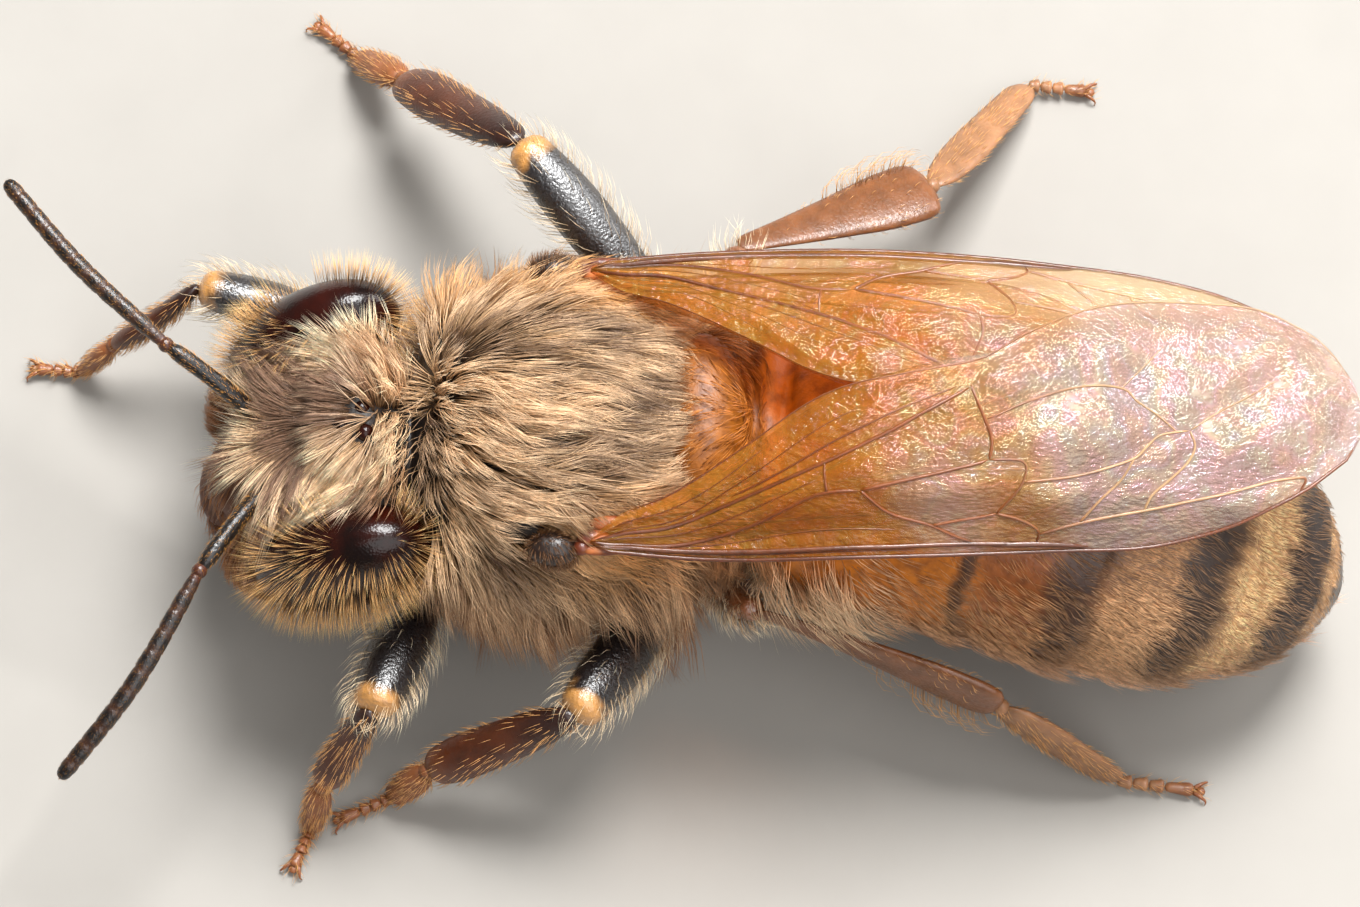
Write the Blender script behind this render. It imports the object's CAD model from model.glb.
# %% [markdown]
# # A honey bee, life size
# This lesson finishes a still museum model of a worker honey bee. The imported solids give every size
# and place. Here they get what a solid can't hold: a skin in one piece, over a hundred thousand hairs,
# clear wings with their veins, jointed feelers and feet. Work in Blender runs from the large to the
# small: first the helpers, then the body, then what is fixed to it, and the coat last.
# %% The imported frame
import math

import bmesh
import bpy
import numpy as np
from mathutils import Matrix, Vector
from mathutils.kdtree import KDTree


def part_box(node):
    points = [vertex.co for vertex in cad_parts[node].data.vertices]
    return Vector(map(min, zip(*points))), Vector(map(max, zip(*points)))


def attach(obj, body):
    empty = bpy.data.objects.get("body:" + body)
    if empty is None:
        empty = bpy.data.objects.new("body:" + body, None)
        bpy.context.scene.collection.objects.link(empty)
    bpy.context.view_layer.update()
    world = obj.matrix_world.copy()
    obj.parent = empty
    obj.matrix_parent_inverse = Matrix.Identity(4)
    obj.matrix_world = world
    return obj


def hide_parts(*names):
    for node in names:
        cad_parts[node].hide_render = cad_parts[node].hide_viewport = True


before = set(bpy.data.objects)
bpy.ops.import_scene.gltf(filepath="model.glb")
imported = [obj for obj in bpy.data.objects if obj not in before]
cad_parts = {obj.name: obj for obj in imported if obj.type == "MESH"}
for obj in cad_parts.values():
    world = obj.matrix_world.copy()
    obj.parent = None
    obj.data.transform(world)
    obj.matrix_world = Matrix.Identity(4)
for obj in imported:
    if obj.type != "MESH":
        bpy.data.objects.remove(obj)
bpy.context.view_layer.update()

print("solids in the frame:", len(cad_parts))

# %% [markdown]
# ## Where the bee is
# A bee is so small that metres are awkward to think in. Every piece is therefore modelled in
# millimetres, in "bee space": the origin is on the floor under the middle of the thorax, the bee
# faces along -Y, and +X is its left. One matrix takes a finished mesh to the frame's metres.
# The thorax solid says where that origin is, so nothing has to be fitted by eye.
# %% Bee space
MM = 0.001
thorax_low, thorax_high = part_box("thorax")
UNDER_THORAX = Vector(((thorax_low.x + thorax_high.x) / 2, (thorax_low.y + thorax_high.y) / 2, 0)) / MM
BOTH_SIDES = ((1, "left"), (-1, "right"))
TO_FRAME = Matrix.Scale(MM, 4) @ Matrix.Translation(UNDER_THORAX)
print("the thorax stands over", [round(v, 2) for v in UNDER_THORAX], "mm")


# %% [markdown]
# ## Small tools
# Curves of growth come up everywhere: how wide a leg is along its length, how dark a band is across
# its edge. `profile` draws a smooth line through a few hand-picked values, `ease` is a soft step,
# `route` is a smooth path through points in space, and `wander` is a gentle noise that repeats
# exactly on each run. They all work on whole arrays at once, because the coat has many hairs.
# %% Curves and steps
def profile(points, at):
    """A smooth line through (place, value) pairs, read at one place or an array of them."""
    places, values = np.array(points, float).T
    slopes = np.gradient(values, places)
    at = np.clip(at, places[0], places[-1])
    left = np.clip(np.searchsorted(places, at) - 1, 0, len(places) - 2)
    step = places[left + 1] - places[left]
    t = (at - places[left]) / step
    rise = t * t * (3 - 2 * t)
    bend = (t**3 - 2 * t**2 + t) * slopes[left] + (t**3 - t**2) * slopes[left + 1]
    return values[left] * (1 - rise) + values[left + 1] * rise + bend * step


def ease(start, end, at):
    """0 before start, 1 after end, and a soft rise between them. start may be the larger."""
    t = np.clip((at - start) / (end - start), 0, 1)
    return t * t * (3 - 2 * t)


def route(points, at):
    """Places on a smooth path through points; at runs from 0 to 1 along its length."""
    points = np.array(points, float)
    steps = np.linalg.norm(np.diff(points, axis=0), axis=1)
    places = np.concatenate([[0], np.cumsum(steps)]) / steps.sum()
    return np.stack([profile(np.stack([places, axis], 1), at) for axis in points.T], 1)


print("a soft step at a quarter and at half:", ease(0, 1, 0.25), ease(0, 1, 0.5))

# %% Directions and noise
WAVES = 8


def unit(vectors):
    return vectors / np.maximum(np.linalg.norm(vectors, axis=-1, keepdims=True), 1e-9)


def way_to(start, end):
    return np.array(end, float) - np.array(start, float)


def along_surface(ways, normals):
    """The part of each way that lies along the surface, made one unit long."""
    return unit(ways - normals * (ways * normals).sum(-1, keepdims=True))


def wander(points, size, seed):
    """Soft noise between about -1 and 1, with hills about size millimetres across."""
    rng = np.random.default_rng(seed)
    total = np.zeros(len(points))
    for _ in range(WAVES):
        wave = unit(rng.normal(size=3)) * 3.1 / size * rng.uniform(0.6, 1.5)
        total += np.sin(points @ wave + rng.uniform(0, 6.28))
    return total / 3.2


def stray(points, size, seed):
    """A gentle noise in each of the three directions."""
    return np.stack([wander(points, size, seed + axis) for axis in range(3)], 1)


print("noise at the origin:", wander(np.zeros((1, 3)), 1.0, 4).round(2))

# %% Colours
def paint(red, green, blue):
    """A colour picked on the usual 0 to 255 scale, as the linear values that shaders use."""
    c = np.array((red, green, blue)) / 255
    return np.where(c < 0.04045, c / 12.92, ((c + 0.055) / 1.055) ** 2.4)


def blend(first, second, share):
    """Colours between first and second, one for each share."""
    share = np.asarray(share)[..., None]
    return first * (1 - share) + second * share


print("middle grey for a shader:", paint(128, 128, 128).round(3))

# %% [markdown]
# ## Nodes without the clicking
# A material is a small graph. `node` adds one box to it, sets its dials and plugs in its cables, so
# that each finish below reads as a recipe. `grain` is a noise whose size is given in millimetres of
# the real surface. It reads Object coordinates, so the pattern is fixed in the piece.
# %% Node helpers
def new_material(name, **dials):
    made = bpy.data.materials.new(name)
    made.use_nodes = True
    shader = made.node_tree.nodes["Principled BSDF"]
    for dial, value in dials.items():
        shader.inputs[dial.replace("_", " ")].default_value = value
    return made, made.node_tree, shader


def node(tree, kind, plugs=None, **settings):
    made = tree.nodes.new(kind)
    for setting, value in settings.items():
        setattr(made, setting, value)
    for plug, value in (plugs or {}).items():
        if isinstance(value, bpy.types.NodeSocket):
            tree.links.new(value, made.inputs[plug])
        else:
            made.inputs[plug].default_value = value
    return made.outputs[0]


print("materials so far:", len(bpy.data.materials))

# %% Noise, ranges and mixes
MIX_FACTOR, MIX_A, MIX_B, MIX_RESULT = 0, 6, 7, 2


def grain(tree, size, detail=3.0, roughness=0.55, stretch=(1, 1, 1)):
    """Noise from 0 to 1 with a grain about size millimetres across."""
    places = tree.nodes.new("ShaderNodeTexCoord").outputs["Object"]
    turned = node(tree, "ShaderNodeMapping", {"Vector": places, "Scale": stretch})
    dials = {"Vector": turned, "Scale": 1 / (size * MM), "Detail": detail, "Roughness": roughness}
    return node(tree, "ShaderNodeTexNoise", dials)


def span(tree, value, low, high, start=0.0, end=1.0):
    """Maps value from start..end to low..high."""
    dials = {"Value": value, "From Min": start, "From Max": end, "To Min": low, "To Max": high}
    return node(tree, "ShaderNodeMapRange", dials)


def mix(tree, first, second, share, way="MIX"):
    """Two colours mixed; each is a cable or a colour."""
    made = tree.nodes.new("ShaderNodeMix")
    made.data_type = "RGBA"
    made.blend_type = way
    for plug, value in ((MIX_FACTOR, share), (MIX_A, first), (MIX_B, second)):
        if isinstance(value, bpy.types.NodeSocket):
            tree.links.new(value, made.inputs[plug])
        elif plug == MIX_FACTOR:
            made.inputs[plug].default_value = value
        else:
            made.inputs[plug].default_value = (*value, 1)
    return made.outputs[MIX_RESULT]


def raise_bumps(tree, shader, height, depth):
    """Bumps depth millimetres high, from a height between 0 and 1, on the shell and its varnish."""
    bump = node(tree, "ShaderNodeBump", {"Height": height, "Distance": depth * MM, "Strength": 1.0})
    tree.links.new(bump, shader.inputs["Normal"])
    tree.links.new(bump, shader.inputs["Coat Normal"])


print("a grain of 0.1 mm is a noise of scale", round(1 / (0.1 * MM)))

# %% [markdown]
# ## The finishes
# Insect cuticle is a hard varnish over brown to black pigment. Where it is thin it glows amber. Its
# colour changes over one plate, so the markings are stored in the mesh as a colour attribute named
# `shade`, and the material adds the fine grain, the pits and the gloss. The coat uses the same
# attribute, so skin and hairs always agree. A second attribute, `gloss`, says how polished it is.
# %% Cuticle of the body
def node_named(tree, attribute):
    made = tree.nodes.new("ShaderNodeAttribute")
    made.attribute_name = attribute
    return made


def shade_of(tree):
    return node_named(tree, "shade").outputs["Color"]


def scaled_shade(tree, scale):
    """The stored colour, made lighter or darker."""
    return node(tree, "ShaderNodeVectorMath", {0: shade_of(tree), "Scale": scale}, operation="SCALE")


def cuticle_finish():
    made, tree, shader = new_material("cuticle", Specular_IOR_Level=0.55)
    mottle = grain(tree, 0.18, detail=5)
    dark = mix(tree, shade_of(tree), (0.45, 0.4, 0.38), 1.0, "MULTIPLY")
    colour = mix(tree, dark, shade_of(tree), span(tree, mottle, 0, 1, 0.3, 0.6))
    tree.links.new(colour, shader.inputs["Base Color"])
    gloss = node_named(tree, "gloss").outputs["Fac"]
    matt = span(tree, gloss, 0.62, 0.2)
    rough = node(tree, "ShaderNodeMath", {0: matt, 1: span(tree, grain(tree, 0.05), -0.08, 0.1)})
    tree.links.new(rough, shader.inputs["Roughness"])
    raise_bumps(tree, shader, grain(tree, 0.035, detail=2), 0.006)
    return made


CUTICLE = cuticle_finish()
print(CUTICLE.name, "is made of", len(CUTICLE.node_tree.nodes), "nodes")

# %% [markdown]
# Each hair is a thin horn-like shaft. It is lighter at the tip than at the root and takes a long
# soft highlight. The colour of every hair comes from its own `shade`, a fine noise breaks it up, and
# the shader stays simple because it is met a million times in one picture.
# %% Hair
def hair_finish(name, roughness, gloss):
    made, tree, shader = new_material(name, Roughness=roughness, Specular_IOR_Level=gloss)
    speck = span(tree, grain(tree, 0.06, detail=1), 0.82, 1.18, 0.3, 0.7)
    tree.links.new(scaled_shade(tree, speck), shader.inputs["Base Color"])
    return made


HAIR = hair_finish("hair", 0.42, 0.5)
EYE_HAIR = hair_finish("eye_hair", 0.32, 0.6)
print("hair finishes:", HAIR.name, "and", EYE_HAIR.name)

# %% [markdown]
# The shells of legs and feelers also carry their markings as `shade`, but they are smoother and
# need a clear varnish layer, which the shader calls a coat. Amber pieces let a little light through,
# so they get some subsurface scattering, which reaches a fifth of a millimetre into them.
# %% Shells
GLOW_REACH = 0.2


def shell_finish(name, roughness, coat, glow=0.0, grain_size=0.05, depth=0.004, varnish=0.12, shine=0.5):
    made, tree, shader = new_material(
        name, Coat_Weight=coat, Coat_Roughness=varnish, Specular_IOR_Level=shine, Subsurface_Weight=glow
    )
    shader.inputs["Subsurface Radius"].default_value = (0.9, 0.4, 0.15)
    shader.inputs["Subsurface Scale"].default_value = GLOW_REACH * MM
    cloud = span(tree, grain(tree, 0.25, detail=4), 0.7, 1.25, 0.3, 0.7)
    tree.links.new(scaled_shade(tree, cloud), shader.inputs["Base Color"])
    worn = span(tree, grain(tree, grain_size, detail=2), roughness - 0.08, roughness + 0.14, 0.3, 0.7)
    pale = span(tree, shade_of(tree), 0, 0.3, 0.1, 0.5)
    rough = node(tree, "ShaderNodeMath", {0: worn, 1: pale})
    tree.links.new(rough, shader.inputs["Roughness"])
    raise_bumps(tree, shader, grain(tree, grain_size, detail=2), depth)
    return made


SHELL_DARK = shell_finish("shell_dark", 0.3, 1.0, grain_size=0.04, depth=0.014, varnish=0.3, shine=0.9)
SHELL_BROWN = shell_finish("shell_brown", 0.36, 0.22, glow=0.15, grain_size=0.04, depth=0.006)
SHELL_AMBER = shell_finish("shell_amber", 0.4, 0.15, glow=0.25, depth=0.006)
FEELER_SHELL = shell_finish("feeler_shell", 0.34, 0.18, grain_size=0.035, depth=0.009)
print("the finishes bring the materials to", len(bpy.data.materials))

# %% [markdown]
# ## From bmesh to piece
# Shapes grow out of bmesh operators. `ball` starts from a sphere, `tube` extrudes a ring of edges
# again and again along a path. `reshape` moves the corners that an operator made, all together.
# `finished` then turns a bmesh into an object whose place is in its mesh, and tells the frame which
# body it rides on and which solids it stands for.
# %% Forms from operators
def reshape(verts, how):
    """Moves corners to where how() sends their places."""
    verts = list(verts)
    for vert, place in zip(verts, how(np.array([vert.co for vert in verts]))):
        vert.co = place


def ball(bm, centre, half, turn=None, around=32, rows=16):
    """An egg with these half sizes; turn is the matrix of the space that it is given in."""
    place = Matrix.Translation(centre) @ Matrix.Diagonal((*half, 1))
    place = (turn @ place) if turn is not None else place
    made = bmesh.ops.create_uvsphere(bm, u_segments=around, v_segments=rows, radius=1, matrix=place)
    return made["verts"]


def tube(bm, line, wide, high, faces, sides=12):
    """Extrudes a ring along a line of centres, with a half width and a half height at each of them.
    The broad side turns towards faces."""
    ahead = np.gradient(np.asarray(line, float), axis=0)
    edges, before, made = [], None, []
    for centre, way, w, h in zip(line, ahead, wide, high):
        way = Vector(way).normalized()
        side = way.cross(Vector(faces)).normalized()
        axes = Matrix((side * float(w), side.cross(way) * float(h), way)).transposed().to_4x4()
        place = Matrix.Translation(centre) @ axes
        if before is None:
            first = bmesh.ops.create_circle(bm, cap_ends=True, segments=sides, radius=1, matrix=place)
            verts = first["verts"]
            edges = list(dict.fromkeys(edge for vert in verts for edge in vert.link_edges))
        else:
            grown = bmesh.ops.extrude_edge_only(bm, edges=edges)["geom"]
            verts = [part for part in grown if isinstance(part, bmesh.types.BMVert)]
            edges = [part for part in grown if isinstance(part, bmesh.types.BMEdge)]
            bmesh.ops.transform(bm, matrix=place @ before.inverted(), verts=verts)
        made += verts
        before = place
    bmesh.ops.edgeloop_fill(bm, edges=edges)
    return made


test = bmesh.new()
print("a ball has", len(ball(test, (0, 0, 0), (1, 1, 1))), "corners")
test.free()

# %% Rounded ends
def rounded(t, start=0.0, end=0.0):
    """Factors that close a limb's two ends like a dome; start and end are shares of its length."""
    first = np.sqrt(np.clip(1 - (1 - t / start) ** 2, 0.002, 1)) if start else 1.0
    last = np.sqrt(np.clip(1 - (1 - (1 - t) / end) ** 2, 0.002, 1)) if end else 1.0
    return np.where(t < start, first, 1.0) * np.where(t > 1 - end, last, 1.0)


def settled(count):
    """Steps from 0 to 1 that crowd towards both ends, where a limb rounds off."""
    even = np.linspace(0, 1, count)
    return 0.35 * even + 0.65 * (0.5 - 0.5 * np.cos(even * math.pi))


print("five steps along a limb:", settled(5).round(2))
print("and its girth there:", rounded(settled(5), 0.3, 0.3).round(2))

# %% What a mesh stores
def corner_places(mesh):
    places = np.empty(len(mesh.vertices) * 3)
    mesh.vertices.foreach_get("co", places)
    return places.reshape(-1, 3)


def corner_normals(mesh):
    normals = np.empty(len(mesh.vertices) * 3)
    mesh.vertices.foreach_get("normal", normals)
    return normals.reshape(-1, 3)


def keep_colours(mesh, name, colours):
    """Stores a colour for each corner, or one colour for all of them."""
    values = np.ones((len(mesh.vertices), 4))
    values[:, :3] = colours
    mesh.color_attributes.new(name, "FLOAT_COLOR", "POINT").data.foreach_set("color", values.ravel())


def keep_values(mesh, name, numbers):
    mesh.attributes.new(name, "FLOAT", "POINT").data.foreach_set("value", np.asarray(numbers, float))


print("meshes in the file:", len(bpy.data.meshes))

# %% From bmesh to piece
TRIANGLES = {}


def placed(name, data):
    """A new object in the scene."""
    made = bpy.data.objects.new(name, data)
    bpy.context.scene.collection.objects.link(made)
    return made


def mesh_of(bm, name, in_order=True):
    """A bee-space mesh from a bmesh, smooth, with its faces turned outwards. Some operators make
    their faces in a new order on each run, so they are sorted by their first two corners. Hair roots
    are picked from a numbered list of faces, and stay put only if that list does."""
    bmesh.ops.remove_doubles(bm, verts=bm.verts, dist=1e-4)
    bmesh.ops.recalc_face_normals(bm, faces=bm.faces)
    for face in bm.faces:
        face.smooth = True
    if in_order:
        bm.verts.index_update()
        bm.faces.sort(key=lambda face: face.verts[0].index * len(bm.verts) + face.verts[1].index)
    mesh = bpy.data.meshes.new(name)
    bm.to_mesh(mesh)
    bm.free()
    return mesh


def finished(name, mesh, material, slot, *nodes):
    """Puts a bee-space mesh in the frame as a piece of the model."""
    mesh.transform(TO_FRAME)
    mesh.materials.append(material)
    piece = placed(name, mesh)
    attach(piece, "root")
    if nodes:
        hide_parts(*nodes)
    TRIANGLES[name] = sum(len(face.vertices) - 2 for face in mesh.polygons)
    print(f"{name}: {TRIANGLES[name]} triangles")


# %% [markdown]
# ## The head's own space
# The head is tipped and slightly turned, so it is easiest to shape in a space of its own: X to the
# bee's left, Y up to the crown, Z straight out of the face. One matrix turns that space into bee
# space, and its inverse brings a point of the body back when we ask what part of the head it is on.
# %% Head space
HEAD_CENTRE = (0.1, -3.08, 2.86)
HEAD_PITCH = math.radians(45)
HEAD_YAW = math.radians(8)
HEAD_TURN = Matrix.Rotation(HEAD_YAW, 4, "Z") @ Matrix.Rotation(HEAD_PITCH, 4, "X")
HEAD_SPACE = Matrix.Translation(HEAD_CENTRE) @ HEAD_TURN


def on_head(*place):
    return HEAD_SPACE @ Vector(place)


def to_head(points):
    return (points - np.array(HEAD_CENTRE)) @ np.array(HEAD_TURN.to_3x3())


def from_head_ways(ways):
    return ways @ np.array(HEAD_TURN.to_3x3()).T


print("the face looks along", [round(v, 2) for v in HEAD_TURN @ Vector((0, 0, 1))])

# %% [markdown]
# ## The abdomen's axis
# The abdomen bends to the bee's left and droops towards its tip. `AXIS_X` and `AXIS_Z` give its
# centre line. `along_abdomen` finds which ring of the abdomen a point belongs to, named by the Y of
# that ring's centre. Plates, dark bands and hair all use it, so they stay square to the bent axis.
# %% The abdomen's axis
ABDOMEN_FRONT, ABDOMEN_TIP = 2.38, 9.18
AXIS_X = ((2.38, 0.0), (4.9, 0.3), (6.85, 0.75), (9.2, 1.22))
AXIS_Z = ((2.38, 2.9), (4.9, 2.72), (6.85, 2.3), (9.2, 1.15))
PLATE_EDGES = (3.65, 4.85, 6.3, 7.63, 8.67)
WAIST_Y = 2.3
RING_STEPS = 4
ABDOMEN_WIDE = (
    (2.38, 1.0), (2.45, 1.3), (2.6, 1.52), (3.0, 1.72), (3.8, 1.87), (5.0, 1.98), (6.5, 1.96),
    (7.6, 1.68), (8.4, 1.2), (8.95, 0.66), (9.18, 0.2),
)
ABDOMEN_HIGH = (
    (2.38, 0.82), (2.45, 1.06), (2.6, 1.24), (3.0, 1.4), (3.8, 1.53), (5.0, 1.62), (6.5, 1.58),
    (7.6, 1.34), (8.4, 0.98), (8.95, 0.56), (9.18, 0.18),
)


def abdomen_axis(y):
    return np.stack([profile(AXIS_X, y), y, profile(AXIS_Z, y)], -1)


def along_abdomen(points):
    """The Y of the ring that each point belongs to, closer to the truth at each step."""
    y = points[:, 1].copy()
    for _ in range(RING_STEPS):
        centre = abdomen_axis(y)
        lean = (abdomen_axis(y + 0.01) - centre) / 0.01
        y = points[:, 1] + ((points - centre) * lean)[:, [0, 2]].sum(1)
    return y


print("the tip of the abdomen lies at", abdomen_axis(ABDOMEN_TIP).round(2))

# %% [markdown]
# ## The skin
# An insect's body is a closed case. Head, neck, thorax, the stalk called the waist, the abdomen and
# the first joints of the legs are modelled as simple closed forms that overlap, and a voxel Remesh
# melts them into one skin with no seam. That suits soft transitions much better than joining meshes
# by hand. It all lies inside the solids by the depth of the coat, which the hairs fill up again.
# %% Head forms
HEAD_SHARE = ((-1, 0.45), (-0.6, 0.74), (-0.1, 0.95), (0.4, 1.0), (0.8, 0.92), (1, 0.8))
SKULL = {"side": 1.58, "crown": 1.46, "chin": 1.5, "face": 0.72, "nape": 0.7}


def skull_shape(round_places):
    x, y, z = round_places.T
    return np.stack([
        x * SKULL["side"] * profile(HEAD_SHARE, y),
        y * np.where(y > 0, SKULL["crown"], SKULL["chin"]),
        z * np.where(z > 0, SKULL["face"], SKULL["nape"]),
    ], 1)


parts = bmesh.new()
skull = bmesh.ops.create_uvsphere(parts, u_segments=48, v_segments=32, radius=1)["verts"]
reshape(skull, skull_shape)
bmesh.ops.transform(parts, matrix=HEAD_SPACE, verts=skull)
ball(parts, (0, -0.86, 0.3), (0.62, 0.62, 0.46), HEAD_SPACE)  # clypeus, the shield over the mouth
ball(parts, (0, -1.5, 0.22), (0.44, 0.26, 0.27), HEAD_SPACE)  # labrum, the upper lip
ball(parts, (0, 1.02, 0.32), (0.62, 0.42, 0.36), HEAD_SPACE)  # the rise that carries the ocelli
ball(parts, (0, -0.3, 0.4), (0.34, 0.5, 0.4), HEAD_SPACE)  # the brow between the feelers
for side in (-1, 1):
    ball(parts, (side * 0.92, -0.92, 0), (0.48, 0.62, 0.5), HEAD_SPACE)  # cheeks
print("the head's forms have", len(parts.verts), "corners")

# %% Thorax, waist and abdomen forms
THORAX_FORMS = (
    ("chest", (0, 0, 3.05), (1.72, 1.82, 1.55)),
    ("collar", (0, -1.45, 3.2), (1.6, 0.55, 1.0)),
    ("back", (0, -0.25, 3.55), (1.66, 1.66, 1.2)),
    ("scutellum", (0, 1.5, 3.95), (1.04, 0.56, 0.48)),
    ("band behind it", (0, 1.84, 3.45), (0.95, 0.42, 0.4)),
    ("propodeum", (0, 1.6, 3.0), (1.42, 0.76, 1.1)),
    ("first ring", (0, 2.3, 3.2), (1.42, 0.4, 0.8)),
)
for title, centre, half in THORAX_FORMS:
    ball(parts, centre, half, around=48, rows=32)
NECK = (on_head(0, 0.35, -0.3), (0, -1.6, 3.0))
WAIST = ((0, 2.0, 2.72), (0.02, 3.05, 2.84))
for ends, radius in ((NECK, 0.42), (WAIST, 0.27)):
    tube(parts, route(ends, np.linspace(0, 1, 6)), [radius] * 6, [radius] * 6, (0, 0, 1), 24)
rings = np.linspace(ABDOMEN_FRONT, ABDOMEN_TIP, 48)
tube(parts, abdomen_axis(rings), profile(ABDOMEN_WIDE, rings), profile(ABDOMEN_HIGH, rings), (0, 0, 1), 56)
print("with thorax, waist and abdomen:", len(parts.verts), "corners")

# %% [markdown]
# The legs' joints are the one list of places that can't be worked out: they are the pose. Each leg
# has a root and a hip on the body, then knee, ankle, heel and toe, and the way its broad side faces.
# The first joint of each leg, the coxa, belongs to the skin, because no seam shows there.
# %% The pose of the legs
LEGS = {
    "front_left": {
        "joints": ((0.5, -1.35, 1.7), (1.2, -1.75, 1.5), (3.1, -2.42, 2.2), (3.64, -3.06, 0.95),
                   (3.95, -3.22, 0.3), (4.46, -3.45, 0.2)),
        "faces": (0.8, -0.3, 0.5), "shin": 0.21, "heel": 0.15,
    },
    "middle_left": {
        "joints": ((0.7, 0.6, 1.5), (1.4, 1.1, 1.5), (3.19, 0, 2.3), (3.42, -1.8, 0.85),
                   (3.54, -2.25, 0.3), (3.82, -2.95, 0.2)),
        "faces": (0.4, 0.1, 0.9), "shin": 0.27, "heel": 0.17,
    },
    "hind_left": {
        "joints": ((0.6, 1.6, 1.5), (1.05, 1.75, 1.3), (1.9, 2.15, 2.35), (2.85, 5.1, 1.6),
                   (3.33, 6.55, 0.38), (3.44, 7.62, 0.2)),
        "faces": (1, -0.3, 0.02), "shin": 0.46, "heel": 0.31,
    },
    "front_right": {
        "joints": ((-0.6, -1.35, 1.7), (-1.8, -2.4, 1.5), (-2.38, -4.6, 2.05), (-2.05, -5.7, 0.9),
                   (-1.98, -6.15, 0.3), (-2.05, -6.8, 0.2)),
        "faces": (-0.8, -0.3, 0.5), "shin": 0.21, "heel": 0.15,
    },
    "middle_right": {
        "joints": ((-0.8, 0.85, 1.5), (-1.95, 1.1, 1.9), (-4.0, -0.7, 2.75), (-5.55, -2.2, 1.0),
                   (-6.2, -2.8, 0.34), (-6.7, -3.35, 0.2)),
        "faces": (-0.2, 0.1, 1), "shin": 0.33, "heel": 0.2,
    },
    "hind_right": {
        "joints": ((-0.6, 1.6, 1.5), (-1.1, 1.75, 1.3), (-2.85, 1.95, 2.2), (-3.93, 4.35, 1.45),
                   (-5.82, 5.62, 0.36), (-5.75, 6.45, 0.2)),
        "faces": (-0.3, -0.1, 1), "shin": 0.46, "heel": 0.24,
    },
}
for leg in LEGS.values():
    root, hip = leg["joints"][:2]
    t = settled(8)
    size = profile(((0, 0.46), (0.6, 0.38), (1, 0.26)), t) * rounded(t, end=0.25)
    tube(parts, route((root, hip), t), size, size, (0, 0, 1), 20)
print("forms to melt together:", len(parts.verts), "corners")

# %% [markdown]
# The Remesh modifier rebuilds the whole heap as one surface on a fine grid, and a little smoothing
# takes out the stair steps. Voxels of 0.055 mm keep the skin well under 200,000 triangles.
# %% One skin
VOXEL = 0.055
SMOOTHINGS = 4


def melted(bm, voxel):
    """One closed surface round overlapping closed forms."""
    heap = placed("heap", mesh_of(bm, "heap"))
    remesh = heap.modifiers.new("Melt", "REMESH")
    remesh.mode = "VOXEL"
    remesh.voxel_size = voxel
    seen = heap.evaluated_get(bpy.context.evaluated_depsgraph_get())
    melted_mesh = bpy.data.meshes.new_from_object(seen)
    bpy.data.objects.remove(heap)
    smooth = bmesh.new()
    smooth.from_mesh(melted_mesh)
    for _ in range(SMOOTHINGS):
        bmesh.ops.smooth_vert(
            smooth, verts=smooth.verts, factor=0.5, use_axis_x=True, use_axis_y=True, use_axis_z=True
        )
    return mesh_of(smooth, "skin", in_order=False)


skin_mesh = melted(parts, VOXEL)
print("skin:", len(skin_mesh.vertices), "corners")

# %% [markdown]
# ## Plates and markings
# The abdomen's plates lap over each other like roof tiles, so each swells towards its back edge and
# drops there by the thickness of a plate. A crease along each side parts back plates from belly
# plates. Colour follows the same rings: amber in front, then pale bands between dark ones, and a
# black tip. Head and thorax are near black, except for the amber scutellum, cheeks and mouth.
# %% Plates
PLATE_LAP = 0.06
CREASE_DEPTH = 0.05
FOLD_ANGLE = math.radians(-28)


def plate_height(rings, around):
    """How far the plates stand out at a ring, and the crease between back and belly plates."""
    edges = np.array((ABDOMEN_FRONT, *PLATE_EDGES, ABDOMEN_TIP + 0.4))
    plate = np.clip(np.searchsorted(edges, rings) - 1, 0, len(edges) - 2)
    share = (rings - edges[plate]) / (edges[plate + 1] - edges[plate])
    lap = ease(0.0, 0.9, share) * (1 - ease(0.94, 1.0, share))
    crease = np.exp(-(((around - FOLD_ANGLE) / 0.05) ** 2))
    return PLATE_LAP * (lap - 0.4) - CREASE_DEPTH * crease


def side_angle(points, rings):
    """Height round the abdomen as an angle: 90 degrees on its back, 0 at its sides."""
    off = points - abdomen_axis(rings)
    return np.arctan2(off[:, 2], np.abs(off[:, 0]))


places = corner_places(skin_mesh)
normals = corner_normals(skin_mesh)
rings = along_abdomen(places)
swell = plate_height(rings, side_angle(places, rings)) * ease(2.6, 3.0, rings)
swell *= (places[:, 1] > WAIST_Y) * (1 - ease(8.85, 9.05, rings))
places += normals * swell[:, None]
skin_mesh.vertices.foreach_set("co", places.ravel())
skin_mesh.update()
print("the plates move the skin by", swell.min().round(3), "to", swell.max().round(3), "mm")

# %% Markings
BLACK = paint(34, 26, 22)
DARK_BAND = paint(44, 28, 20)
AMBER = paint(198, 114, 16)
BROWN_AMBER = paint(152, 86, 36)
SHIELD_AMBER = paint(152, 88, 14)
DEEP_AMBER = paint(100, 52, 20)
PALE_BAND = paint(142, 100, 62)
CREAM_BAND = paint(196, 148, 96)
# The middle, half width and strength of each dark band.
BANDS = ((4.74, 0.1, 0.85), (6.05, 0.27, 0.85), (7.24, 0.25, 0.95), (8.37, 0.33, 1.0), (9.14, 0.26, 1.0))


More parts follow.
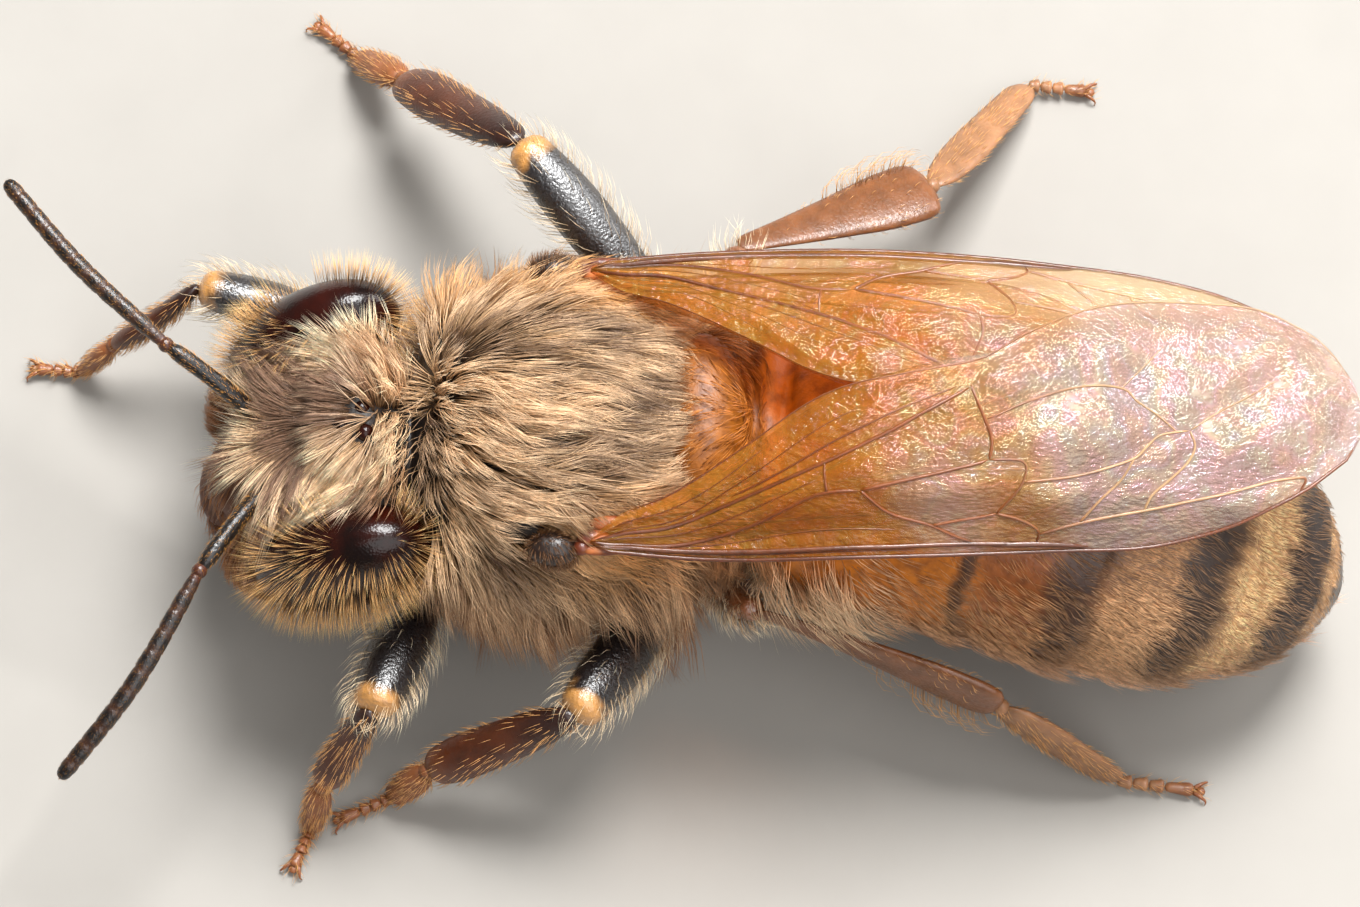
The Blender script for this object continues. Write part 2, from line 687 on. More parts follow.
def band_darkness(rings, around):
    """How dark a ring of the abdomen is, from 0 to 1."""
    dark = np.zeros(len(rings))
    for middle, half, strength in BANDS:
        ragged = middle + 0.05 * np.sin(around * 9 + middle * 3) + 0.03 * np.sin(around * 31 + middle)
        off = np.abs(rings - ragged)
        dark = np.maximum(dark, strength * (1 - ease(half * 0.5, half * 1.45, off)))
    return np.maximum(dark, ease(9.02, 9.12, rings))


print("dark bands:", len(BANDS), "the widest is", round(2 * max(band[1] for band in BANDS), 2), "mm")

# %% Colours of the skin
def skin_colours(points):
    """The colour and the gloss of the cuticle at each point of the body."""
    head = to_head(points)
    on_face = ease(-0.4, -0.7, head[:, 1]) * (points[:, 1] < -2.2)
    colour = blend(BLACK, DEEP_AMBER, on_face)
    y, z = points[:, 1], points[:, 2]
    amber_back = ease(1.0, 1.12, y) * ease(2.6, 3.3, z) * ease(2.24, 2.16, y)
    colour = blend(colour, SHIELD_AMBER, amber_back)
    rings = along_abdomen(points)
    belly = ease(-0.4, -0.6, side_angle(points, rings))
    base = blend(AMBER, BROWN_AMBER, ease(4.6, 5.2, rings))
    base = blend(base, PALE_BAND, ease(5.9, 6.6, rings))
    base = blend(base, CREAM_BAND, ease(7.1, 7.5, rings))
    base = blend(base, DEEP_AMBER, belly * 0.7)
    dark = band_darkness(rings, side_angle(points, rings)) * (1 - 0.5 * belly)
    on_abdomen = ease(2.16, 2.24, y)
    colour = blend(colour, blend(base, DARK_BAND, dark), on_abdomen)
    gloss = 0.75 - 0.35 * on_abdomen * ease(5.4, 6.4, rings) * (rings < 8.7)
    gloss = gloss - 0.5 * np.maximum(on_face, points[:, 1] < -1.95)
    return colour, gloss - 0.4 * amber_back - 0.3 * on_abdomen * ease(5.4, 4.6, rings)


colours, gloss = skin_colours(places)
keep_colours(skin_mesh, "shade", colours)
keep_values(skin_mesh, "gloss", gloss)
SKIN_NODES = [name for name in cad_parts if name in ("head", "neck", "thorax", "waist")]
SKIN_NODES += [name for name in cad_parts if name.startswith("abdomen_") or name.endswith("_coxa")]
print("the skin stands for", len(SKIN_NODES), "solids; its gloss runs to", round(float(gloss.max()), 2))

# %% [markdown]
# ## The eyes
# A compound eye is a tall bulging shell with no pupil and thousands of tiny lenses. Ours is an egg
# set into the side of the head, leaning a little, exactly where the eye solid is. The lenses are far
# too small to model, so a Voronoi bump draws them. Short golden hairs stand between the lenses.
# %% Eye space and finish
EYE_HALF = (0.6, 1.27, 0.84)
EYE_SIDE, EYE_UP, EYE_OUT = 1.36, 0.16, -0.02
EYE_LEAN = math.radians(7)
LENS = 0.03


def eye_space(side):
    place = Matrix.Translation((side * EYE_SIDE, EYE_UP, EYE_OUT))
    return HEAD_SPACE @ place @ Matrix.Rotation(-side * EYE_LEAN, 4, "Z")


def eye_finish():
    made, tree, shader = new_material(
        "eye", Coat_Weight=0.3, Coat_Roughness=0.1, Specular_IOR_Level=0.2, Roughness=0.26
    )
    cloud = span(tree, grain(tree, 0.5), 0, 1, 0.35, 0.65)
    colour = mix(tree, paint(14, 3, 2), paint(44, 10, 4), cloud)
    tree.links.new(colour, shader.inputs["Base Color"])
    places = tree.nodes.new("ShaderNodeTexCoord").outputs["Object"]
    lenses = node(tree, "ShaderNodeTexVoronoi", {"Vector": places, "Scale": 1 / (LENS * MM)})
    raise_bumps(tree, shader, span(tree, lenses, 1, 0, 0, 0.7), 0.002)
    return made


EYE = eye_finish()
print("the left eye's centre:", [round(v, 2) for v in eye_space(1).translation])

# %% Eyes
def ground_of(mesh):
    """Corner places and normals of a mesh's triangles: what hair can grow on."""
    mesh.calc_loop_triangles()
    corners = np.empty(len(mesh.loop_triangles) * 3, int)
    mesh.loop_triangles.foreach_get("vertices", corners)
    corners = corners.reshape(-1, 3)
    return corner_places(mesh)[corners], corner_normals(mesh)[corners]


eye_grounds = {}
for side, word in BOTH_SIDES:
    bm = bmesh.new()
    ball(bm, (0, 0, 0), EYE_HALF, eye_space(side), around=64, rows=40)
    mesh = mesh_of(bm, "eye_" + word)
    eye_grounds[side] = ground_of(mesh)
    finished("eye_globe_" + word, mesh, EYE, "eye", "eye_" + word)

# %% Ocelli
OCELLI = ((0.11, 1.08, 0.63), (0.26, 1.3, 0.47), (-0.04, 1.3, 0.47))
OCELLUS = 0.11
bm = bmesh.new()
for place in OCELLI:
    ball(bm, place, (OCELLUS, OCELLUS, OCELLUS), HEAD_SPACE, around=20, rows=12)
finished("ocelli", mesh_of(bm, "ocelli"), EYE, "eye")

# %% [markdown]
# ## How a hair is made
# Particle hair would look right and then vanish from an exported model, so each hair here is a real
# three-sided spike. Roots are scattered over the skin by area. Each hair starts between the surface
# normal and the lie of the coat, bends over, and ends along the lie. Neighbours are then gathered
# into locks. All hairs of a piece are computed as one array, which takes a fraction of a second.
# %% Roots
def scatter(ground, count, crowd, rng):
    """Roots and normals spread over a ground, as thick as crowd(places) says, from 0 to 1."""
    corners, corner_normal = ground
    edges = corners[:, 1:] - corners[:, :1]
    area = np.linalg.norm(np.cross(edges[:, 0], edges[:, 1]), axis=1)
    weight = area * crowd(corners.mean(1))
    pick = rng.choice(len(area), count, p=weight / weight.sum())
    across, down = np.sqrt(rng.random(count)), rng.random(count)
    shares = np.stack([1 - across, across * (1 - down), across * down], 1)[..., None]
    return (corners[pick] * shares).sum(1), unit((corner_normal[pick] * shares).sum(1))


everywhere = lambda points: np.ones(len(points))
tries, _ = scatter(eye_grounds[1], 900, everywhere, np.random.default_rng(1))
print("the middle of 900 test roots on the left eye:", tries.mean(0).round(2))

# %% Hair shafts
def shafts(roots, normals, ways, lengths, rise, droop, bends=4):
    """A curved line for each hair. rise is how steeply it leaves the skin, from 0 to 1, and droop
    how far its end dips back towards the skin."""
    rise = np.broadcast_to(rise, len(roots))[:, None]
    droop = np.broadcast_to(droop, len(roots))[:, None]
    lengths = np.broadcast_to(lengths, len(roots))[:, None]
    leaving = unit(normals * rise + ways * (1 - rise))
    lying = unit(ways - normals * droop)
    knee = roots + leaving * lengths * 0.5
    tip = knee + lying * lengths * 0.5
    t = np.linspace(0, 1, bends + 1)[:, None]
    start = roots - leaving * 0.03
    pulls = ((1 - t) ** 2)[None] * start[:, None] + (2 * t * (1 - t))[None] * knee[:, None]
    return pulls + (t * t)[None] * tip[:, None]


hair = shafts(np.zeros((1, 3)), np.array([(0, 0, 1.0)]), np.array([(0, 1.0, 0)]), 1.0, 0.5, 0.1)
print("a test hair runs from", hair[0, 0].round(2), "to", hair[0, -1].round(2))

# %% Locks
def locks_of(roots, size, rng):
    """Parts the hairs into locks of about size hairs: the leading hair of each hair's lock."""
    leaders = rng.choice(len(roots), max(1, len(roots) // size), replace=False)
    tree = KDTree(len(leaders))
    for leader in leaders:
        tree.insert(roots[leader], leader)
    tree.balance()
    return np.array([tree.find(root)[1] for root in roots])


def tousled(ways, normals, lock, amount, rng):
    """Turns each lock its own way, and each hair in it a little."""
    turns = rng.normal(size=(len(ways), 3)) * amount
    return along_surface(ways + turns[lock] + 0.35 * turns, normals)


def by_lock(lock, low, high, rng):
    """A number from low to high for each hair, mostly shared by its lock."""
    loose = rng.random(len(lock))
    return low + (high - low) * (0.65 * loose[lock] + 0.35 * loose)


def gathered(lines, lock, pull, rng, spread=0.03):
    """Draws the hairs of each lock together towards their tips."""
    share = (np.linspace(0, 1, lines.shape[1]) ** 1.2)[None, :, None]
    apart = rng.normal(size=(len(lines), 1, 3)) * spread
    return lines + (lines[lock] + apart - lines) * share * pull * rng.uniform(0.4, 1, (len(lines), 1, 1))


print("lengths in one lock:", by_lock(np.zeros(3, int), 0.6, 1.2, np.random.default_rng(1)).round(2))

# %% The corners and faces of a spike
SIDES = 3
PATCH = 0.003


def spike_corners(lines, thick, rng):
    """Three corners round each stop of a hair, ever nearer to it, and one at the tip."""
    count, stops = lines.shape[:2]
    ahead = unit(np.gradient(lines, axis=1))
    side = unit(np.cross(ahead, unit(rng.normal(size=(count, 1, 3)))))[:, :-1, None]
    up = np.cross(side, ahead[:, :-1, None])
    t = np.linspace(0, 1, stops)[:-1]
    radius = np.broadcast_to(thick, count)[:, None] * (1 - 0.75 * t ** 1.5)
    turn = (np.arange(SIDES) * 2 * math.pi / SIDES)[:, None]
    rim = side * np.cos(turn) + up * np.sin(turn)
    corners = lines[:, :-1, None] + rim * radius[:, :, None, None]
    return np.concatenate([corners.reshape(count, -1, 3), lines[:, -1:]], 1)


def spike_faces(rims):
    """The faces of one hair as corner numbers, and the place of each face's corners in its patch."""
    faces, patch = [], []
    for ring in range(rims):
        low, high = PATCH * ring / rims, PATCH * (ring + 1) / rims
        for j in range(SIDES):
            here, there = ring * SIDES + j, ring * SIDES + (j + 1) % SIDES
            a, b = PATCH * j / SIDES, PATCH * (j + 1) / SIDES
            if ring < rims - 1:
                faces.append([here, there, there + SIDES, here + SIDES])
                patch += [(a, low), (b, low), (b, high), (a, high)]
            else:
                faces.append([here, there, rims * SIDES])
                patch += [(a, low), (b, low), ((a + b) / 2, high)]
    faces.append([2, 1, 0])
    patch += [(0, 0), (PATCH / 2, 0), (0, PATCH / rims)]
    return faces, patch


print("a hair with two bends has", len(spike_faces(2)[0]), "faces")

# %% A coat piece
FLOOR_CLEAR = 0.012
# Deep in a coat the light has passed through many hairs, which leaves it warmer.
WARM_SHADOW = np.array((0.85, 1.05, 1.4))
coat_triangles = {}


def hair_piece(name, lines, thick, colours, unwrapped, material, slot, rng, root_dark=0.5, tip_light=1.2):
    """Joins all the hairs of one piece into one mesh of three-sided spikes. unwrapped holds each
    root's place on an unwrap of the skin, where the hair has a patch of its own in the map."""
    lines = np.maximum(lines, (-99, -99, FLOOR_CLEAR))
    count, stops = lines.shape[:2]
    rims = stops - 1
    corners = spike_corners(lines, thick, rng)
    per_hair = corners.shape[1]
    faces, patch = spike_faces(rims)
    loops = np.concatenate(faces)
    sizes = np.tile([len(face) for face in faces], count)
    every = (loops[None] + np.arange(count)[:, None] * per_hair).ravel()
    mesh = bpy.data.meshes.new(name)
    mesh.vertices.add(count * per_hair)
    mesh.vertices.foreach_set("co", corners.ravel())
    mesh.loops.add(len(every))
    mesh.loops.foreach_set("vertex_index", every)
    mesh.polygons.add(len(sizes))
    mesh.polygons.foreach_set("loop_start", np.concatenate([[0], np.cumsum(sizes)[:-1]]))
    mesh.polygons.foreach_set("use_smooth", np.ones(len(sizes), bool))
    spots = np.clip(unwrapped, 0, 1)[:, None] * (1 - PATCH) + np.array(patch)[None]
    mesh.uv_layers.new(name="OFBake").data.foreach_set("uv", spots.ravel())
    mesh.update(calc_edges=True)
    light = root_dark + (tip_light - root_dark) * np.linspace(0, 1, stops) ** 0.7
    light = np.concatenate([np.repeat(light[:rims], SIDES), light[-1:]])
    shade = np.broadcast_to(colours, (count, 3))[:, None] * light[None, :, None] ** WARM_SHADOW
    keep_colours(mesh, "shade", np.clip(shade, 0, 1).reshape(-1, 3))
    finished(name, mesh, material, slot)
    coat_triangles[name] = TRIANGLES[name]


def varied(colours, rng, amount=0.18):
    """Every hair a little lighter or darker than its neighbours."""
    return colours * rng.uniform(1 - amount, 1 + amount, (len(colours), 1))


print("hair ends", FLOOR_CLEAR, "mm above the floor at least")

# %% [markdown]
# Hair must not pass through an eye. The fur of the face sweeps along the rims of both eyes, so a hair
# that would sink in is lifted on to the globe's surface. A hair rooted inside the globe, or one that
# would lie across the open front of the eye, is dropped: the eyes stay dark and clear.
# %% Hair over the eyes
EYE_OPEN = -0.05
EYE_NEAR = 1.6
LIFT, LIFT_TIP = 1.03, 0.12


def over_eyes(lines):
    """The hairs lifted over the eyes, and which of them to keep."""
    lifted, keep = lines.copy(), np.ones(len(lines), bool)
    for side in (-1, 1):
        space = np.array(eye_space(side))
        back = np.linalg.inv(space)
        local = (lifted @ back[:3, :3].T + back[:3, 3]) / np.array(EYE_HALF)
        depth = np.linalg.norm(local, axis=2, keepdims=True)
        keep &= depth[:, 1, 0] > 0.94
        outward = local[:, :, 0] * side / np.maximum(depth[:, :, 0], 1e-6)
        ragged = 0.12 * np.sin(700 * lines[:, :1, 0])
        limit = EYE_OPEN + 0.3 * ease(-0.1, -0.5, local[:, :, 1]) + ragged
        open_front = (outward > limit) & (local[:, :, 2] > -0.25)
        keep &= ~(open_front & (depth[:, :, 0] < EYE_NEAR)).any(1)
        t = np.linspace(0, 1, lines.shape[1])[None, :, None]
        outside = local * (LIFT + LIFT_TIP * t) / np.maximum(depth, 1e-6)
        raised = (outside * np.array(EYE_HALF)) @ space[:3, :3].T + space[:3, 3]
        sunk = (depth < LIFT + LIFT_TIP * t) & (t > 0)
        lifted = np.where(sunk & keep[:, None, None], raised, lifted)
    return lifted, keep


print("hairs are lifted", round((LIFT - 1) * EYE_HALF[0], 3), "mm or more off the eyes")

# %% Clearance and unwraps
def clear_of(lines, start, end, radius):
    """False for a hair that comes nearer than radius to the line from start to end."""
    start, way = np.array(start, float), way_to(start, end)
    share = np.clip((lines - start) @ way / (way @ way), 0, 1)[..., None]
    return (np.linalg.norm(lines - start - share * way, axis=2) > radius).all(1)


def body_unwrap(points, start, length):
    """Angle round the body and place along it: the skin slit along the belly and rolled flat."""
    axis = np.where(points[:, 1] > WAIST_Y, profile(AXIS_Z, points[:, 1]), 3.05)
    middle = np.where(points[:, 1] > WAIST_Y, profile(AXIS_X, points[:, 1]), 0)
    turn = np.arctan2(points[:, 0] - middle, points[:, 2] - axis) / (2 * math.pi) + 0.5
    return np.stack([turn, (points[:, 1] - start) / length], 1)


def head_unwrap(points):
    local = to_head(points)
    turn = np.arctan2(local[:, 0], local[:, 2]) / (2 * math.pi) + 0.5
    return np.stack([turn, local[:, 1] / 3.6 + 0.5], 1)


skin_ground = ground_of(skin_mesh)
print("ground for the coat:", len(skin_ground[0]), "triangles")

# %% [markdown]
# ## The wings
# Folded, the four wings make a low roof over the abdomen: each fore wing lies on its own hind wing,
# and the left pair lies on the right one. A wing is described by two outlines, the stiff front edge
# and the soft back margin. Any place on it then has two numbers, its share of the length and its
# share of the way from front edge to margin. Membrane, veins and fringe are all drawn in these.
# %% Wing outlines
WINGS = {
    "forewing": {
        "start": 0.2, "length": 9.1, "costa_side": 1.86,
        "costa": ((0, 0.12), (0.02, 0.03), (0.05, 0), (0.6, 0.02), (0.75, 0.16), (0.87, 0.5), (0.95, 0.95),
                  (0.985, 1.25), (1, 1.55)),
        "margin": ((0, 0.16), (0.03, 0.38), (0.1, 0.62), (0.2, 1.12), (0.3, 1.64), (0.4, 1.86), (0.465, 1.98),
                   (0.5, 2.06), (0.56, 2.42), (0.65, 2.85), (0.78, 3.02), (0.9, 2.85), (0.97, 2.3),
                   (0.99, 1.95), (1, 1.6)),
    },
    "hindwing": {
        "start": 0.75, "length": 6.3, "costa_side": 1.74,
        "costa": ((0, 0.1), (0.5, 0.12), (0.75, 0.3), (0.9, 0.7), (0.97, 1.05), (1, 1.36)),
        "margin": ((0, 0.4), (0.15, 0.8), (0.35, 1.5), (0.6, 2.0), (0.8, 2.1), (0.93, 1.85), (0.98, 1.6),
                   (1, 1.4)),
    },
}
RIGHT_SHORTER = 0.15
RIGHT_COSTA_IN = 0.12
CREST = ((0, 4.62), (2, 4.86), (3.5, 4.98), (5, 4.91), (7, 4.52), (9.3, 4.05))
FALL = ((0, 0.3), (3, 0.55), (6, 0.62), (9.3, 0.4))
LEFT_OVER_RIGHT = 0.56
FORE_OVER_HIND = 0.13
PLEAT = 0.028
for kind, wing in WINGS.items():
    print(kind, "is", wing["length"], "mm long")

# %% Places on a wing
def wing_height(side, x, y):
    """The height of a fore wing. The left one climbs over the right one behind its root."""
    roof = profile(CREST, y) - profile(FALL, y) * (x / 1.86) ** 2
    if side < 0:
        return roof + 0.15
    return roof + LEFT_OVER_RIGHT * ease(0, 3.6, y) * (1 - 0.45 * ease(1.25, 1.9, x)) - 0.15 * ease(0, 2, y)


def wing_size(kind, side):
    """How far out a wing's front edge lies, and the wing's length."""
    wing, right = WINGS[kind], side < 0
    return wing["costa_side"] - RIGHT_COSTA_IN * right, wing["length"] - RIGHT_SHORTER * right


def on_wing(kind, side, share, across, above=0.0):
    """Bee-space places from shares of a wing's length and of its width."""
    wing = WINGS[kind]
    edge, length = wing_size(kind, side)
    share, across = np.broadcast_arrays(np.asarray(share, float), np.asarray(across, float))
    front, back = profile(wing["costa"], share), profile(wing["margin"], share)
    inset = front + (back - front) * across
    x = side * (edge - inset)
    y = wing["start"] + share * length
    pleats = np.sin(across * 17 + 1.2) * PLEAT * (1 - 0.75 * share) * ease(0, 0.08, across)
    z = wing_height(side, x, y) + pleats + above
    z = z - (FORE_OVER_HIND if kind == "hindwing" else 0)
    return np.stack([x, y, z], -1)


def wing_share(kind, side, x, y):
    """The inverse of on_wing: shares of length and width at x, y."""
    wing = WINGS[kind]
    edge, length = wing_size(kind, side)
    share = (y - wing["start"]) / length
    front, back = profile(wing["costa"], share), profile(wing["margin"], share)
    return share, (edge - side * x - front) / np.maximum(back - front, 1e-3)


print("the left forewing's tip is at", on_wing("forewing", 1, 1.0, 0.5).round(2))

# %% Hair under the wings
ROOM_UNDER, ROOM_OVER = 0.08, 0.04


def outside_wings(lines):
    """False for a hair that would come up through a folded wing."""
    x, y, z = np.moveaxis(lines, 2, 0)
    clear = np.ones(len(lines), bool)
    for side in (-1, 1):
        share, across = wing_share("forewing", side, x, y)
        over = (share > 0.04) & (share < 1) & (across > -0.02) & (across < 1.02)
        roof = wing_height(side, x, y)
        below = over & (z < roof - FORE_OVER_HIND - ROOM_UNDER)
        above = over & (z > roof + ROOM_OVER)
        clear &= ~(over & ~below & ~above).any(1) & ~(below.any(1) & above.any(1))
    return clear


spot = on_wing("forewing", 1, (0.5,), 0.5)
print("a hair inside a forewing is kept:", outside_wings(spot[None])[0])

# %% [markdown]
# The membrane is clear, amber near its root and pearly behind, with a rainbow sheen like a soap film.
# It is a tinted Transparent shader with a thin varnished layer mixed over it. Millions of tiny
# bristles on the real membrane break the light into sparks, and a very fine bump does that here, with
# a slow waviness under it that gathers the glints in patches. How much of the layer shows is stored
# in the mesh as `veil`.
# %% Membrane and vein finish
def membrane_finish():
    made, tree, shader = new_material(
        "membrane", Coat_Weight=1.0, Coat_Roughness=0.11, Coat_IOR=1.7, Specular_IOR_Level=0.8,
        Thin_Film_IOR=1.45,
    )
    tree.links.new(scaled_shade(tree, 0.8), shader.inputs["Base Color"])
    film = span(tree, grain(tree, 0.7, detail=2), 240, 620, 0.3, 0.7)
    tree.links.new(film, shader.inputs["Thin Film Thickness"])
    rough = span(tree, grain(tree, 0.12, detail=4), 0.16, 0.42, 0.3, 0.7)
    tree.links.new(rough, shader.inputs["Roughness"])
    sparks = grain(tree, 0.045, detail=2, stretch=(1, 0.45, 1))
    ripples = mix(tree, sparks, grain(tree, 0.22, detail=3), 0.4)
    ripples = mix(tree, ripples, grain(tree, 0.6, detail=1, stretch=(1, 0.6, 1)), 0.3)
    raise_bumps(tree, shader, ripples, 0.075)
    tint = mix(tree, (1, 1, 1), shade_of(tree), 0.42)
    clear = node(tree, "ShaderNodeBsdfTransparent", {"Color": tint})
    veil = node_named(tree, "veil").outputs["Fac"]
    patchy = node(tree, "ShaderNodeMath", {0: veil, 1: span(tree, grain(tree, 0.5), 0.75, 1.25, 0.3, 0.7)},
                  operation="MULTIPLY")
    both = node(tree, "ShaderNodeMixShader", {0: patchy, 1: clear, 2: shader.outputs["BSDF"]})
    tree.links.new(both, tree.nodes["Material Output"].inputs["Surface"])
    return made


MEMBRANE = membrane_finish()
VEIN_SHELL = shell_finish("vein", 0.34, 0.4, glow=0.3, grain_size=0.05)
print(MEMBRANE.name, "is made of", len(MEMBRANE.node_tree.nodes), "nodes")

# %% [markdown]
# The veins of a honey bee's fore wing are the same in every bee, so they are named and drawn one by
# one: the thick front edge, the long veins that fan from the root, and the cross veins that close
# the cells. Each is a flattened tube along a smooth route over the wing. Fine folds fan out beside
# them near the root.
# %% Vein routes
FOREWING_VEINS = {
    "costa": (0.03, (0, 0), (0.2, 0), (0.45, 0), (0.7, 0), (0.87, 0), (0.96, 0), (0.995, 0.02)),
    "radius": (0.042, (0, 0.2), (0.06, 0.12), (0.2, 0.065), (0.36, 0.05), (0.5, 0.045), (0.56, 0.03)),
    "stigma": (0.05, (0.51, 0.035), (0.565, 0.03), (0.64, 0.012)),
    "media_cubitus": (0.03, (0, 0.3), (0.08, 0.18), (0.2, 0.27), (0.3, 0.35), (0.345, 0.33)),
    "anal": (0.028, (0, 0.5), (0.08, 0.45), (0.16, 0.51), (0.3, 0.545), (0.36, 0.62), (0.43, 0.74),
             (0.486, 0.84)),
    "anal_fold": (0.014, (0.18, 0.58), (0.26, 0.61), (0.33, 0.68), (0.4, 0.78), (0.47, 0.86)),
    "cubito_anal": (0.02, (0.303, 0.35), (0.3, 0.45), (0.3, 0.545)),
    "basal": (0.024, (0.345, 0.33), (0.39, 0.2), (0.437, 0.14), (0.47, 0.08), (0.495, 0.045)),
    "cubitus": (0.024, (0.345, 0.33), (0.42, 0.37), (0.51, 0.42)),
    "cubitus_bend": (0.022, (0.51, 0.42), (0.514, 0.5), (0.505, 0.64), (0.496, 0.74), (0.487, 0.86)),
    "radial_sector": (0.02, (0.437, 0.14), (0.475, 0.155), (0.52, 0.165)),
    "first_cell": (0.02, (0.52, 0.165), (0.55, 0.125), (0.575, 0.07), (0.572, 0.03)),
    "first_recurrent": (0.018, (0.52, 0.165), (0.553, 0.27), (0.55, 0.37), (0.51, 0.42)),
    "marginal": (0.02, (0.572, 0.06), (0.63, 0.09), (0.71, 0.115), (0.8, 0.125), (0.875, 0.12),
                 (0.918, 0.07), (0.912, 0)),
    "second_cross": (0.017, (0.627, 0.09), (0.655, 0.165), (0.68, 0.23), (0.698, 0.31)),
    "media": (0.018, (0.553, 0.27), (0.62, 0.26), (0.67, 0.285), (0.698, 0.31), (0.715, 0.355),
              (0.735, 0.395), (0.77, 0.402)),
    "media_tail": (0.009, (0.77, 0.402), (0.8, 0.46), (0.85, 0.54), (0.885, 0.62)),
    "third_cross": (0.016, (0.71, 0.115), (0.722, 0.17), (0.745, 0.22), (0.768, 0.28), (0.776, 0.33),
                    (0.77, 0.402)),
    "outer_cubitus": (0.014, (0.505, 0.64), (0.57, 0.64), (0.64, 0.63), (0.682, 0.6), (0.702, 0.54),
                      (0.73, 0.47), (0.753, 0.4)),
    "cubitus_tail": (0.008, (0.682, 0.6), (0.703, 0.66), (0.74, 0.78)),
    "front_fold": (0.01, (0, 0.1), (0.1, 0.06), (0.25, 0.035), (0.42, 0.03)),
    "root_fold_1": (0.009, (0.02, 0.24), (0.12, 0.16), (0.25, 0.17), (0.4, 0.13)),
    "root_fold_2": (0.009, (0.02, 0.36), (0.1, 0.33), (0.2, 0.39), (0.29, 0.44)),
    "root_fold_3": (0.008, (0.02, 0.58), (0.1, 0.56), (0.18, 0.66), (0.27, 0.75), (0.34, 0.82)),
    "root_fold_4": (0.007, (0.03, 0.72), (0.12, 0.74), (0.22, 0.86)),
    "hem": (0.009, (0.05, 0.995), (0.2, 0.995), (0.35, 0.995), (0.5, 0.995), (0.65, 0.995), (0.8, 0.995),
            (0.92, 0.995), (0.985, 0.99)),
}
HINDWING_VEINS = {
    "costa": (0.022, (0, 0), (0.3, 0), (0.6, 0), (0.85, 0), (0.97, 0.02)),
    "radius": (0.02, (0, 0.3), (0.2, 0.12), (0.5, 0.06), (0.62, 0.04)),
    "media": (0.017, (0, 0.5), (0.2, 0.35), (0.45, 0.3), (0.6, 0.28), (0.8, 0.22)),
    "cubitus": (0.014, (0.3, 0.33), (0.42, 0.5), (0.6, 0.62), (0.72, 0.75)),
    "cross": (0.013, (0.45, 0.3), (0.47, 0.42), (0.46, 0.54)),
}
WING_NETS = {"forewing": FOREWING_VEINS, "hindwing": HINDWING_VEINS}
VEIN_DARK = paint(84, 40, 12)
VEIN_GOLD = paint(128, 68, 22)
VEIN_PALE = paint(206, 164, 122)


def vein_shares(stops, count):
    return route([(*stop, 0) for stop in stops], np.linspace(0, 1, count))[:, :2].T


print({kind: len(net) for kind, net in WING_NETS.items()}, "veins and folds")

# %% [markdown]
# A membrane starts as a grid from one operator, is moved onto the wing, and gets a thickness of a
# hundredth of a millimetre. Between its veins a real membrane is blown up a little, like a quilt, and
# that is what makes each cell shine on its own. So every corner is raised by its distance to the
# nearest vein. The rows crowd towards the tip, so that the outline rounds off there.
# %% Membranes
MEMBRANE_THICK = 0.012
QUILT_HEIGHT, QUILT_REACH = 0.075, 0.22
GRIDS = {"forewing": (150, 56), "hindwing": (80, 32)}
WING_AMBER = paint(220, 156, 58)
WING_CLEAR = paint(228, 196, 150)
WING_PEARL = paint(202, 170, 154)


def flat_wing(kind, share, across):
    """Millimetres on the flat wing, to measure distances in."""
    front, back = profile(WINGS[kind]["costa"], share), profile(WINGS[kind]["margin"], share)
    return np.stack([front + (back - front) * across, share * WINGS[kind]["length"]], -1)


def quilted(kind, share, across):
    """How high the membrane stands between its veins."""
    spots = flat_wing(kind, share, across)
    nearest = np.full(len(spots), 9.0)
    for thick, *stops in WING_NETS[kind].values():
        for vein in flat_wing(kind, *vein_shares(stops, 40)):
            nearest = np.minimum(nearest, np.linalg.norm(spots - vein, axis=1))
    blown = 1 - np.exp(-((nearest / QUILT_REACH) ** 2))
    lumps = 0.75 + 0.35 * wander(np.c_[spots, spots[:, :1] * 0], 0.55, 9)
    blown = blown * (1 + 0.7 * ease(0.55, 0.3, share))
    return QUILT_HEIGHT * blown * lumps * ease(1.0, 0.93, across) * ease(1.0, 0.95, share)


def membrane(kind, side, word):
    bm = bmesh.new()
    rows, columns = GRIDS[kind]
    grid = bmesh.ops.create_grid(bm, x_segments=rows, y_segments=columns, size=0.5)["verts"]

    def laid(places):
        share = 0.4 * (places[:, 0] + 0.5) + 0.6 * np.sin((places[:, 0] + 0.5) * math.pi / 2)
        across = places[:, 1] + 0.5
        return on_wing(kind, side, share, across, quilted(kind, share, across))

    reshape(grid, laid)
    bmesh.ops.recalc_face_normals(bm, faces=bm.faces)
    bmesh.ops.solidify(bm, geom=bm.faces, thickness=MEMBRANE_THICK)
    mesh = mesh_of(bm, kind)
    x, y, _ = corner_places(mesh).T
    share, across = wing_share(kind, side, x, y)
    cloud = 0.1 * wander(corner_places(mesh), 1.1, 3)
    pale = ease(0.36, 0.66, share + cloud)
    clear = WING_PEARL if side > 0 else blend(WING_CLEAR, WING_PEARL, ease(0.25, 0.6, across))
    keep_colours(mesh, "shade", blend(WING_AMBER, clear, pale))
    pearl = pale * (1.0 if side > 0 else 0.45)
    keep_values(mesh, "veil", 0.2 + 0.2 * pearl - 0.08 * (kind == "hindwing"))
    finished(f"{kind}_membrane_{word}", mesh, MEMBRANE, "wing", f"{kind}_{word}")


print("the quilt rises by up to", quilted("forewing", np.linspace(0, 1, 90), 0.3).max().round(3), "mm")

# %% Veins
VEIN_LIFT = 0.004
VEIN_FLATNESS = 0.72


